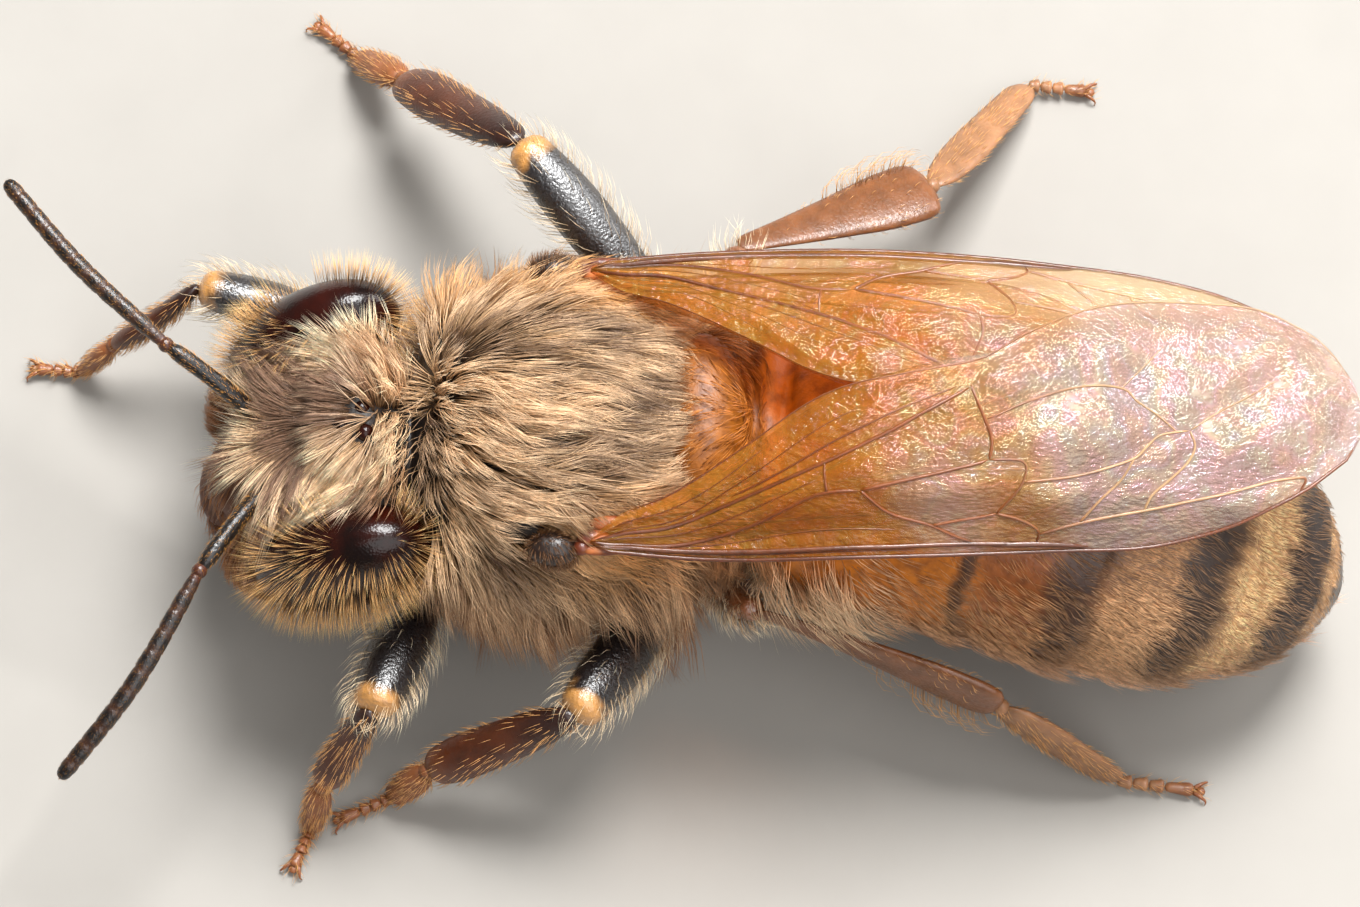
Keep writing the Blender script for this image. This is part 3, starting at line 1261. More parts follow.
def veins(kind, side, word):
    bm = bmesh.new()
    for title, (thick, *stops) in WING_NETS[kind].items():
        count = 6 + 5 * len(stops)
        t = np.linspace(0, 1, count)
        line = on_wing(kind, side, *vein_shares(stops, count), VEIN_LIFT)
        blunt = 0.5 if title == "stigma" else 0.06
        size = thick * (1 - 0.25 * t) * rounded(t, blunt, blunt)
        tube(bm, line, size, size * VEIN_FLATNESS, (0, 0, 1), 6)
    mesh = mesh_of(bm, kind + "_veins")
    x, y, _ = corner_places(mesh).T
    share, across = wing_share(kind, side, x, y)
    golden = ease(0.0, 0.45, share) * ease(0.02, 0.1, across) * 0.7 + 0.3 * ease(0.6, 0.9, share)
    pale = ease(0.5, 0.72, share) * ease(0.04, 0.12, across) * (0.75 + 0.25 * ease(0.9, 1, across))
    keep_colours(mesh, "shade", blend(blend(VEIN_DARK, VEIN_GOLD, golden), VEIN_PALE, 0.8 * pale))
    finished(f"{kind}_veins_{word}", mesh, VEIN_SHELL, "wing")


for side, word in BOTH_SIDES:
    for kind in WING_NETS:
        membrane(kind, side, word)
        veins(kind, side, word)

# %% [markdown]
# Where a wing joins the thorax sit small horny plates: the amber ones that fold it, and in front of
# them the dark shell of the tegula, which covers the joint like a knee cap.
# %% Wing bases
SCLERITES = (
    ((1.8, 0.34, 4.28), (0.07, 0.28, 0.05)),
    ((1.66, 0.24, 4.34), (0.1, 0.2, 0.05)),
    ((1.76, 0.1, 4.26), (0.1, 0.1, 0.08)),
    ((1.5, 0.44, 4.36), (0.1, 0.26, 0.05)),
)
TEGULA = ((1.76, -0.24, 4.18), (0.2, 0.3, 0.17))
tegula_grounds = {}
for side, word in BOTH_SIDES:
    bm = bmesh.new()
    for (x, y, z), half in SCLERITES:
        ball(bm, (side * x, y, z), half, around=20, rows=12)
    mesh = mesh_of(bm, "sclerites")
    lit = ease(-0.2, 0.6, wander(corner_places(mesh), 0.25, 8))
    keep_colours(mesh, "shade", blend(paint(92, 36, 10), paint(206, 120, 56), lit))
    finished("wing_base_" + word, mesh, SHELL_AMBER, "cuticle_amber")
    bm = bmesh.new()
    (x, y, z), half = TEGULA
    turn = Matrix.Translation((side * x, y, z)) @ Matrix.Rotation(side * math.radians(30), 4, "Y")
    ball(bm, (0, 0, 0), half, turn, around=28, rows=18)
    mesh = mesh_of(bm, "tegula")
    keep_colours(mesh, "shade", paint(34, 20, 13))
    tegula_grounds[side] = ground_of(mesh)
    finished("tegula_shell_" + word, mesh, SHELL_BROWN, "cuticle_amber", "tegula_" + word)

# %% [markdown]
# ## The legs
# A leg is a chain of hard tubes: a thick femur, a tibia, and a foot of five small joints that ends in
# two claws with a sticky pad between them. Front and middle legs are slim. The tibia of the hind leg
# is a wide flat blade, the pollen basket, and so is the first joint of its foot. Every tube is
# extruded along its own smooth line and closed like a dome. The feet come down to the floor itself.
# %% Leg widths and colours
FEMUR = ((0, 0.17), (0.15, 0.26), (0.4, 0.34), (0.75, 0.34), (1, 0.25))
FEMUR_HIND = ((0, 0.16), (0.2, 0.25), (0.6, 0.26), (1, 0.14))
SHIN_SLIM = ((0, 0.5), (0.12, 0.72), (0.5, 1.0), (0.85, 0.98), (1, 0.72))
SHIN_BLADE = ((0, 0.26), (0.15, 0.4), (0.5, 0.74), (0.8, 1.0), (0.93, 0.98), (1, 0.8))
FOOT_LOW, FOOT_LIFT = 0.5, 0.45
LEG_CLEAR = 0.004
BLACK_SHELL = paint(20, 15, 17)
KNEE_CREAM = paint(194, 136, 66)
SHIN_BROWN = paint(74, 32, 8)
HIP_BROWN = paint(96, 48, 18)
SHIN_TAUPE = paint(118, 72, 40)
FOOT_AMBER = paint(134, 80, 44)
FOOT_PALE = paint(150, 106, 72)
print("a femur is up to", 2 * max(half for _, half in FEMUR), "mm thick")

# %% A limb

def limb(bm, start, end, wide, high, faces, sides=14, stops=18, sag=0.0, close=0.12):
    """A closed tube from start to end; wide and high are profiles of half sizes."""
    t = settled(stops)
    ends = np.array((start, end), float)
    line = ends[0] + (ends[1] - ends[0]) * t[:, None]
    line = line + np.array(faces, float) * (sag * np.sin(t * math.pi))[:, None]
    dome = rounded(t, close, close)
    return tube(bm, line, profile(wide, t) * dome, profile(high, t) * dome, faces, sides)


def sized(points, scale):
    """A profile made larger or smaller."""
    return tuple((place, value * scale) for place, value in points)


def share_between(points, start, end):
    """How far along from start to end each point lies."""
    way = way_to(start, end)
    return ((points - np.array(start)) @ way) / (way @ way)


def lowered(joint):
    """Brings the ankle-high joints of a foot down, so that its thin toes meet the floor."""
    x, y, z = joint
    return (x, y, z * FOOT_LIFT) if z < FOOT_LOW else joint


print("the lowest joints come down to", lowered((0, 0, 0.2))[2], "mm")

# %% A piece of leg and its markings
leg_grounds = []


def leg_piece(leg, part, bm, material, slot, colours, hair, *nodes):
    mesh = mesh_of(bm, f"{leg}_{part}")
    places = corner_places(mesh)
    places[:, 2] = np.maximum(places[:, 2], LEG_CLEAR)
    mesh.vertices.foreach_set("co", places.ravel())
    keep_colours(mesh, "shade", colours(places))
    leg_grounds.append((leg, part, ground_of(mesh), *hair))
    finished(f"{leg}_{part}_shell", mesh, material, slot, *nodes)


def femur_colours(points, hip, knee, hind):
    t = share_between(points, hip, knee)
    end = ease(0.895, 0.925, t + 0.025 * wander(points, 0.1, 4))
    end = end * (1 - 0.35 * ease(0.3, 0.9, wander(points, 0.07, 6)))
    if hind:
        dark = blend(HIP_BROWN, BLACK_SHELL, 0.5 * ease(0.1, 0.4, t))
        return blend(dark, FOOT_AMBER, ease(0.55, 0.8, t))
    return blend(BLACK_SHELL, KNEE_CREAM, end)


def tibia_colours(points, knee, ankle, hind):
    t = share_between(points, knee, ankle)
    base = SHIN_TAUPE if hind else SHIN_BROWN
    dark = blend(base, BLACK_SHELL, 0.7 * ease(0.5, 0.12, t) * (0 if hind else 1))
    return blend(dark, FOOT_AMBER, (0.15 if hind else 0.5) * ease(0.8, 1.0, t))


print("legs stop", LEG_CLEAR, "mm above the floor")

# %% Claws
CLAW = 0.15


def claws(bm, toe, way, size=CLAW):
    """Two hooked claws, split at the tip, with the pad between them."""
    way = unit(np.array(way, float) * (1, 1, 0))
    across = np.array((-way[1], way[0], 0))
    toe = np.array(toe, float)
    toe = toe - way * size * 0.85
    for side in (-1, 1):
        stops = (
            toe + across * side * 0.03,
            toe + way * size * 0.6 + across * side * 0.09 + (0, 0, 0.02),
            toe + way * size + across * side * 0.13 + (0, 0, -0.03),
            toe + way * size * 0.95 + across * side * 0.15 + (0, 0, -0.075),
        )
        t = np.linspace(0, 1, 10)
        size_of = 0.034 * (1 - 0.85 * t)
        tube(bm, route(stops, t), size_of, size_of, (0, 0, 1), 7)
    ball(bm, toe + way * size * 0.5 + (0, 0, -0.02), (0.06, 0.06, 0.04), around=12, rows=8)


print("a claw is", CLAW, "mm long")

# %% Femur, tibia and foot
FIRST_JOINT = ((0, 0.6), (0.15, 0.95), (0.7, 1.0), (1, 0.8))
BEAD = ((0, 0.06), (0.5, 0.075), (0.85, 0.088), (1, 0.08))
BEAD_STOPS = (0, 0.18, 0.36, 0.54, 0.88)


def build_femur(name, faces, hind, hip, knee):
    bm = bmesh.new()
    ball(bm, hip, (0.24, 0.24, 0.22), around=18, rows=12)
    thick = FEMUR_HIND if hind else FEMUR
    limb(bm, hip, knee, thick, sized(thick, 0.86), faces, stops=26, sag=0.05, close=0.06)
    leg_piece(name, "femur", bm, SHELL_DARK, "leg_dark", lambda p: femur_colours(p, hip, knee, hind),
              (hip, knee, 0.34, 620), name + "_femur")


def build_tibia(name, faces, hind, knee, ankle, width):
    bm = bmesh.new()
    shape = SHIN_BLADE if hind else SHIN_SLIM
    flat = 0.26 if hind else 0.62
    limb(bm, knee, ankle, sized(shape, width), sized(shape, width * flat), faces,
         sides=18, stops=28, sag=-0.04, close=0.05 if hind else 0.09)
    leg_piece(name, "tibia", bm, SHELL_BROWN, "leg_brown", lambda p: tibia_colours(p, knee, ankle, hind),
              (knee, ankle, 0.17, 240 if hind else 380), name + "_tibia")


def build_foot(name, faces, hind, ankle, heel, toe, width):
    bm = bmesh.new()
    ball(bm, ankle, (0.1, 0.1, 0.1), around=14, rows=10)
    limb(bm, ankle, heel, sized(FIRST_JOINT, width), sized(FIRST_JOINT, width * (0.3 if hind else 0.7)),
         faces, sides=14)
    for first, last in zip(BEAD_STOPS, BEAD_STOPS[1:]):
        start, end = Vector(heel).lerp(toe, first), Vector(heel).lerp(toe, last)
        limb(bm, start, end, BEAD, sized(BEAD, 0.75), (0, 0, 1), sides=10, stops=9, close=0.15)
    claws(bm, toe, Vector(toe) - Vector(heel))
    base = FOOT_PALE if hind else FOOT_AMBER
    leg_piece(name, "tarsus", bm, SHELL_AMBER, "leg_amber",
              lambda p: blend(base, FOOT_AMBER, ease(0.3, 0.9, share_between(p, heel, toe))),
              (ankle, toe, 0.15, 560), name + "_tarsus")


for name, spec in LEGS.items():
    _, hip, knee, ankle, heel, toe = [lowered(joint) for joint in spec["joints"]]
    faces, hind = spec["faces"], name.startswith("hind")
    build_femur(name, faces, hind, hip, knee)
    build_tibia(name, faces, hind, knee, ankle, spec["shin"])
    build_foot(name, faces, hind, ankle, heel, toe, spec["heel"])

# %% [markdown]
# ## The feelers
# A feeler is an elbow: a long scape rises from the face, then a small round pedicel, then the
# flagellum with its ten short drums. The drums show because each swells a little and the joint
# between two of them is paler and thinner. They are about 0.2 mm thick, much thinner than the
# solids, which need half a millimetre to be sound.
# %% Feeler measures
FEELERS = {
    "left": (1, (1.77, -4.42, 3.45), (3.1, -5.2, 3.15), (4.08, -6.07, 2.62)),
    "right": (-1, (-0.92, -4.85, 3.88), (-1.85, -5.9, 4.12), (-2.87, -6.78, 4.25)),
}
SOCKET = (0.38, -0.2, 0.62)
DRUMS = 10
STOPS_PER_DRUM = 10
FEELER_HALF = 0.105
FEELER_DARK = paint(16, 10, 8)
FEELER_RING = paint(112, 66, 40)
PEDICEL_RED = paint(70, 34, 20)
SCAPE = ((0, 0.07), (0.1, 0.09), (0.6, 0.1), (0.95, 0.085), (1, 0.07))
FLAGELLUM = ((0, 0.6), (0.09, 0.86), (0.3, 1.0), (1, 0.96))
print("a flagellum is", 2 * FEELER_HALF, "mm thick and has", DRUMS, "drums")

# %% Feelers
feeler_grounds = []


def build_scape(word, side, elbow):
    socket = on_head(side * SOCKET[0], SOCKET[1], SOCKET[2])
    bm = bmesh.new()
    ball(bm, socket, (0.13, 0.13, 0.13), around=18, rows=12)
    limb(bm, socket, elbow, SCAPE, SCAPE, (0, 0, 1), sides=14, sag=0.12)
    mesh = mesh_of(bm, "scape")
    keep_colours(mesh, "shade", FEELER_DARK)
    feeler_grounds.append((ground_of(mesh), socket, elbow, 0.08, 600))
    finished("scape_shell_" + word, mesh, FEELER_SHELL, "feeler", "scape_" + word)


def build_flagellum(word, elbow, bend, tip):
    bm = bmesh.new()
    path = route((elbow, bend, tip), np.linspace(0, 1, DRUMS + 2))
    ball(bm, path[0], (0.095, 0.095, 0.095), around=16, rows=12)
    t = np.linspace(0, 1, STOPS_PER_DRUM * (DRUMS + 1) + 1)
    along = t * (DRUMS + 1)
    to_joint = np.abs(along - np.round(along)) * (along > 0.5) * (along < DRUMS + 0.5) + (along <= 0.5)
    waist = 1 - 0.1 * np.exp(-((to_joint / 0.09) ** 2))
    half = FEELER_HALF * profile(FLAGELLUM, t)
    half = half * waist * rounded(t, 0.01, 0.04)
    tube(bm, route((elbow, bend, tip), t), half, half, (0, 0, 1), 16)
    mesh = mesh_of(bm, "flagellum")
    spots = corner_places(mesh)
    along = np.array([np.linalg.norm(spots - stop, axis=1) for stop in path])
    ring = np.exp(-(((np.abs(along[1:-1]).min(0) - FEELER_HALF * 0.92) / 0.03) ** 2))
    colours = blend(FEELER_DARK, FEELER_RING, 0.2 * ring)
    colours = blend(colours, PEDICEL_RED, ease(0.2, 0.1, along[0]))
    keep_colours(mesh, "shade", colours)
    feeler_grounds.append((ground_of(mesh), elbow, tip, 0.035, 1800))
    finished("flagellum_shell_" + word, mesh, FEELER_SHELL, "feeler", "flagellum_" + word)


for word, (side, elbow, bend, tip) in FEELERS.items():
    build_scape(word, side, elbow)
    build_flagellum(word, elbow, bend, tip)

# %% [markdown]
# ## The mouth
# Two spoon-shaped jaws meet in front of the upper lip. The tongue is folded back under the head, in
# its sheath of four long blades, with the hairy tip just showing.
# %% Jaws
JAW_ROOT, JAW_BEND, JAW_TIP = (0.6, -1.2, 0.02), (0.5, -1.6, 0.06), (0.1, -1.82, 0.1)
for side, word in BOTH_SIDES:
    bm = bmesh.new()
    stops = [on_head(side * x, y, z) for x, y, z in (JAW_ROOT, JAW_BEND, JAW_TIP)]
    t = settled(20)
    wide = profile(((0, 0.19), (0.4, 0.13), (0.8, 0.15), (1, 0.13)), t) * rounded(t, 0.1, 0.12)
    tube(bm, route(stops, t), wide, wide * 0.62, on_head(0, 0, 1) - on_head(0, 0, 0), 16)
    mesh = mesh_of(bm, "jaw")
    tip = ease(0.5, 0.2, np.linalg.norm(corner_places(mesh) - np.array(stops[-1]), axis=1))
    keep_colours(mesh, "shade", blend(paint(120, 56, 18), paint(52, 20, 10), tip))
    finished("jaw_" + word, mesh, SHELL_AMBER, "cuticle_amber", "mandible_" + word)

# %% The folded tongue
BLADES = ((-0.12, 0.1), (0.12, 0.1), (-0.05, 0.07), (0.05, 0.07))
bm = bmesh.new()
for x, half in BLADES:
    stops = [on_head(x, -1.0, -0.3), on_head(x * 1.1, -1.6, -0.36), on_head(x * 0.5, -2.05, -0.3)]
    t = settled(16)
    size = profile(((0, 1.0), (0.6, 0.8), (1, 0.35)), t) * rounded(t, 0.1, 0.15) * half
    tube(bm, route(stops, t), size * 1.2, size, (0, 0, 1), 10)
mesh = mesh_of(bm, "tongue")
keep_colours(mesh, "shade", paint(146, 78, 34))
finished("tongue_sheath", mesh, SHELL_AMBER, "cuticle_amber", "proboscis")

# %% [markdown]
# ## The thorax coat
# The pile of the thorax runs from a whorl at the middle of the collar back to the scutellum, like
# the lines of a magnet from one pole to the other. Over the sides it stands out, turns and hangs
# past the legs. Dark streaks show the skin, and the amber scutellum wears only a thin golden down.
# The coat is grown in five pieces so that none of them is too heavy.
# %% Hair colours
STRAW_HAIR = paint(234, 196, 154)
GREY_HAIR = paint(100, 72, 54)
GOLD_HAIR = paint(224, 156, 72)
SHIELD_HAIR = paint(196, 116, 30)
TAN_HAIR = paint(206, 154, 104)
FLANK_HAIR = paint(142, 86, 44)
CREAM_HAIR = paint(246, 210, 170)
ASH_HAIR = paint(140, 108, 86)
print("straw hair as shader values:", STRAW_HAIR.round(2))

# %% The lie of the thorax coat
WHORL = np.array((-0.35, -2.1, 3.9))
MEETING = np.array((0.0, 2.1, 4.35))


def thorax_ways(points, normals):
    from_whorl, to_meeting = points - WHORL, MEETING - points
    near = (from_whorl**2).sum(1, keepdims=True)
    far = (to_meeting**2).sum(1, keepdims=True)
    swept = unit(from_whorl / (near + 0.05) + to_meeting / (far + 0.3))
    side = np.sign(points[:, 0])
    hanging = np.stack([side, 0 * side + 0.25, 0 * side - 0.5], 1)
    fallen = ease(3.95, 3.2, points[:, 2])[:, None]
    ways = swept * (1 - fallen) + hanging * fallen
    forward = np.stack([points[:, 0] * 0.45, 0 * side - 1, 0 * side + 0.25], 1)
    ragged = points[:, 1] + 0.22 * wander(points, 0.5, 4)
    near_whorl = ease(1.2, 0.6, np.abs(points[:, 0] + 0.35))
    collar = (ease(-1.56, -1.78, ragged) * ease(2.4, 3.0, points[:, 2]) * near_whorl)[:, None]
    ways = ways * (1 - collar) + forward * collar
    return along_surface(unit(ways) + 0.24 * stray(points, 0.8, 5), normals)


up = np.array([(0, 0, 1.0)])
print("thorax hair lies along", thorax_ways(np.array([(0.5, 0, 4.6)]), up)[0].round(2))

# %% Where the thorax coat is thin
def streaks(points):
    """1 where the pile parts and lets the dark skin through."""
    x, y = points[:, 0], points[:, 1]
    middle = np.exp(-(((x + 0.3 - 0.2 * y) / 0.13) ** 2)) * ease(-1.8, -1.5, y) * ease(0.0, -0.9, y)
    right = np.exp(-(((x + 1.0 + 0.15 * y) / 0.3) ** 2 + ((y + 0.7) / 0.7) ** 2))
    left = np.exp(-(((x - 0.7 + 0.1 * y) / 0.26) ** 2 + ((y + 0.3) / 0.8) ** 2))
    loose = ease(0.1, 0.8, wander(points * (1.8, 0.5, 1.8), 0.42, 11))
    return np.clip(0.95 * middle + 0.7 * right + 0.7 * left + (0.5 - 0.2 * ease(0, 0.8, y)) * loose, 0, 0.95)


def amber_back(points):
    """1 on the amber plates behind the thorax shield."""
    return ease(1.0, 1.15, points[:, 1]) * ease(2.4, 3.0, points[:, 2])


def on_thorax(points):
    y = points[:, 1]
    neck = np.linalg.norm(points - (0, -1.95, 2.9), axis=1) < 0.95
    bald = 0.72 * amber_back(points) * ease(1.2, 0.8, np.abs(points[:, 0]))
    return ((y > -2.1) & (y < WAIST_Y) & ~neck) * (1 - bald) * (1 - 0.92 * ease(-1.62, -1.85, y))


print("how far the pile parts in its middle:", streaks(np.array([(-0.5, -1.0, 4.5)])).round(2))

# %% Hair near the neck and the legs
NECK_KEPT = 0.3
LEG_SPANS = {
    True: ((0.45, 0.18, (0, 0, 0)), (0.45, 0.1, (0, 0, 0))),
    False: ((0.28, 0.4, (0, 0, 0)), (0.45, 0.34, (0.15, 0, 0.4))),
}


def across_neck(lines, rng):
    """False for nearly all hairs that would fill the valley between head and thorax."""
    x, y, z = np.moveaxis(lines, 2, 0)
    gap = (y > -2.12) & (y < -1.84) & (z > 3.0) & (np.abs(x + 0.35) > 0.45)
    return ~gap.any(1) | (rng.random(len(lines)) < NECK_KEPT)


def kept_short(lines, start, end, radius):
    """Halves the hairs that would reach a leg, so that the flank beside it isn't left bald."""
    near = ~clear_of(lines, start, end, radius)
    halved = lines[:, :1] + (lines - lines[:, :1]) * 0.5
    return np.where(near[:, None, None], halved, lines)


def beside_legs(lines):
    """The hairs shortened beside the femurs, and which of them are clear of the legs then."""
    keep = np.ones(len(lines), bool)
    for leg, spec in LEGS.items():
        hip, knee = (np.array(joint) for joint in spec["joints"][1:3])
        for start, radius, above in LEG_SPANS[leg.startswith("hind")]:
            first, last = hip + (knee - hip) * start + above, knee + above
            lines = kept_short(lines, first, last, radius)
            keep &= clear_of(lines, first, last, radius)
    return lines, keep


print("lines kept clear of flank hair:", len(LEGS) * len(LEG_SPANS[True]))

# %% A piece of the thorax coat
def thorax_coat(name, count, crowd, seed, length=0.95, rise=0.36, thick=0.0058, outwards=0.0):
    rng = np.random.default_rng(seed)
    here = lambda points: on_thorax(points) * crowd(points) * (1 - 0.72 * streaks(points))
    roots, normals = scatter(skin_ground, count, here, rng)
    x, y, z = roots.T
    amber = amber_back(roots)
    side = ease(3.9, 3.0, z) * (1 - amber)
    lock = locks_of(roots, 9, rng)
    front = ease(-1.25, -1.7, y)
    middle = ease(1.15, 0.7, np.abs(x))
    lengths = length * by_lock(lock, 0.62, 1.2, rng) * (1 - 0.45 * amber * middle) * (1 + 0.1 * side)
    lengths = lengths * (1 - 0.3 * front)
    outward = np.stack([np.sign(x), 0 * x, 0 * x], 1) * outwards
    ways = tousled(thorax_ways(roots, normals) + outward, normals, lock, 0.15, rng)
    rises = (rise + 0.42 * side + 0.25 * front) * by_lock(lock, 0.6, 1.4, rng)
    droop = 0.16 - 0.75 * side - 0.25 * front
    lines = gathered(shafts(roots, normals, ways, lengths, rises, droop, bends=3), lock, 0.45, rng)
    dull = 0.75 * streaks(roots) + 0.45 * ease(0, 0.8, wander(roots, 0.45, 21))
    colours = blend(STRAW_HAIR, GREY_HAIR, np.clip(dull + by_lock(lock, -0.3, 0.35, rng), 0, 1))
    colours = blend(colours, SHIELD_HAIR, amber * (0.5 + 0.45 * middle))
    shoulder = ease(-0.9, 0.2, y) * ease(0.9, 1.5, np.abs(x)) * ease(3.3, 3.8, z)
    colours = blend(colours, GOLD_HAIR, 0.7 * shoulder)
    colours = blend(colours, GOLD_HAIR, 0.45 * ease(-0.8, -1.5, x) * ease(3.0, 3.5, z))
    colours = blend(colours, FLANK_HAIR, 0.7 * ease(3.7, 2.5, z))
    lines, keep = over_eyes(lines)
    keep &= outside_wings(lines) & across_neck(lines, rng)
    lines, clear = beside_legs(lines)
    x, y, z = TEGULA[0]
    keep &= clear & clear_of(lines, (x, y - 0.12, z), (x, y + 0.12, z + 0.3), 0.24)
    hair_piece(name, lines[keep], thick, varied(colours, rng, 0.25)[keep],
               body_unwrap(roots, -2.2, 5.0)[keep], HAIR, "coat_cream", rng, root_dark=0.34, tip_light=1.22)


# %% Growing the thorax coat
thorax_coat("coat_thorax_top", 12400, lambda p: ease(3.5, 3.9, p[:, 2]) * (p[:, 1] < 1.1), 31)
thorax_coat("coat_thorax_back", 5600, lambda p: (p[:, 1] >= 1.1) * 1.0, 32, length=0.72, thick=0.005)
for side, word in BOTH_SIDES:
    flank = lambda p: ease(3.9, 3.5, p[:, 2]) * (p[:, 1] < 1.1) * (p[:, 0] * side > 0)
    thorax_coat("coat_thorax_" + word, 10500, flank, 33 + side, length=1.12, rise=0.45)

# %% Tufts over the wing roots
thorax_coat("coat_wing_roots", 3000, lambda p: (p[:, 2] > 3.9) * ease(0.95, 1.15, np.abs(p[:, 0]))
            * ease(-0.8, -0.4, p[:, 1]) * ease(1.3, 1.0, p[:, 1]), 37, length=0.95, rise=0.55, outwards=0.8)

# %% [markdown]
# ## The head coat
# From the three ocelli the hair of the head is combed forward over the face and outwards to both
# sides, with a parting down the middle. It ends as a ragged fringe over the sockets of the feelers.
# Behind the ocelli a row of longer golden hairs curls forward. The rims along the tops of the eyes
# and the shield over the mouth stay nearly bare, and the cheeks wear a short velvet.
# %% The lie of the head coat
def head_ways(points, normals):
    x, y, z = to_head(points).T
    side = np.where(x < -0.03, -1.0, 1.0)
    out = side * (0.2 + 1.0 * ease(1.3, 0.0, y)) * ease(0.0, 0.3, np.abs(x + 0.03))
    ways = np.stack([out, -1 + 0.25 * ease(1.2, 0, y), 0 * x], 1)
    crest = (ease(1.15, 1.4, y) * ease(0.42, 0.1, z))[:, None]
    curl = np.stack([side * 0.9, 0.1 + 0 * x, 0.9 + 0 * x], 1)
    ways = ways * (1 - crest) + curl * crest
    nape = (ease(0.0, -0.3, z))[:, None]
    behind = np.stack([side * 0.8, 0.35 + 0 * x, 0.3 + 0 * x], 1)
    ways = ways * (1 - nape) + behind * nape
    return along_surface(from_head_ways(unit(ways)) + 0.17 * stray(points, 0.7, 15), normals)


face = np.array([on_head(0.5, 0.3, 0.7)])
print("face hair lies along", head_ways(face, up)[0].round(2))

# %% Where the head coat is thin
def bare_head(points):
    """1 where the head is nearly bald."""
    x, y, z = to_head(points).T
    rim = 0.7 * np.exp(-(((np.abs(x) - 1.0) / 0.16) ** 2 + ((y - 0.95) / 0.3) ** 2)) * (z > -0.2)
    shield = ease(-0.3, -0.45, y) * ease(0.62, 0.5, np.abs(x)) * (z > 0)
    parting = np.exp(-(((x + 0.06) / 0.07) ** 2)) * ease(0.85, 0.6, y) * ease(0.1, 0.3, y)
    ocelli = 0.8 * np.exp(-(((x - 0.11) / 0.24) ** 2 + ((y - 1.28) / 0.12) ** 2)) * (z > 0.1)
    neck = ease(1.0, 0.7, np.hypot(x, y - 0.3)) * (z < -0.2)
    return np.clip(rim + 0.88 * shield + parting + ocelli + neck, 0, 1)


def on_head_skin(points):
    return (points[:, 1] < -1.95).astype(float)


print("the head's share of the skin:", on_head_skin(corner_places(skin_mesh)).mean().round(2))

# %% A piece of the head coat
FACE_DOWN = paint(170, 108, 56)
OCELLI_CLEAR = 0.1


def head_coat(name, count, crowd, seed, bends=3):
    rng = np.random.default_rng(seed)

    def here(points):
        parted = 1 - 0.5 * ease(0.2, 0.8, wander(points * (1.6, 0.6, 1.6), 0.4, 12))
        return on_head_skin(points) * crowd(to_head(points)) * (1 - bare_head(points)) * parted

    roots, normals = scatter(skin_ground, count, here, rng)
    x, y, z = to_head(roots).T
    crest = ease(1.1, 1.35, y) * ease(0.5, 0.2, z)
    cheek = ease(-0.15, -0.5, y)
    fringe = ease(0.75, 0.3, y) * (1 - cheek) * (z > 0.1)
    rim = ease(0.35, 0.8, np.abs(x)) * ease(1.25, 0.9, y) * (1 - cheek) * (z > 0)
    size = 0.74 + 0.12 * crest + 0.28 * fringe - 0.4 * cheek + 0.12 * rim - 0.2 * ease(-0.1, -0.4, z)
    lock = locks_of(roots, 9, rng)
    lengths = size * by_lock(lock, 0.65, 1.2, rng)
    rises = (0.29 + 0.38 * crest + 0.1 * fringe) * by_lock(lock, 0.6, 1.4, rng)
    ways = tousled(head_ways(roots, normals), normals, lock, 0.14, rng)
    lines = shafts(roots, normals, ways, lengths, rises, 0.1, bends=bends)
    lines = gathered(lines, lock, 0.6, rng, spread=0.02)
    tone = wander(roots * (1, 1, 0.6), 0.4, 25) + 0.4 * (y - 0.6) + by_lock(lock, -0.5, 0.5, rng)
    colours = blend(ASH_HAIR, CREAM_HAIR, ease(-0.4, 0.3, tone))
    colours = blend(colours, GOLD_HAIR, 0.25 * crest)
    colours = blend(colours, FACE_DOWN, 0.75 * cheek)
    lines, keep = over_eyes(lines)
    keep &= across_neck(lines, rng)
    for place in OCELLI[1:]:
        low, high = on_head(*place), on_head(*place) + Vector((0.12, 0, 0.45))
        keep &= clear_of(lines, low, high, OCELLI_CLEAR)
    hair_piece(name, lines[keep], 0.0052, varied(colours, rng, 0.26)[keep],
               head_unwrap(roots)[keep], HAIR, "coat_cream", rng, root_dark=0.26, tip_light=1.5)


# %% Growing the head coat
head_coat("coat_head_top", 11500, lambda h: (h[:, 2] > 0) * ease(-0.1, 0.1, h[:, 1]), 41)
head_coat("coat_head_back", 4200, lambda h: (h[:, 2] <= 0) * 1.0, 42)
head_coat("coat_cheeks", 4200, lambda h: (h[:, 2] > 0) * ease(0.0, -0.2, h[:, 1]), 43, bends=2)

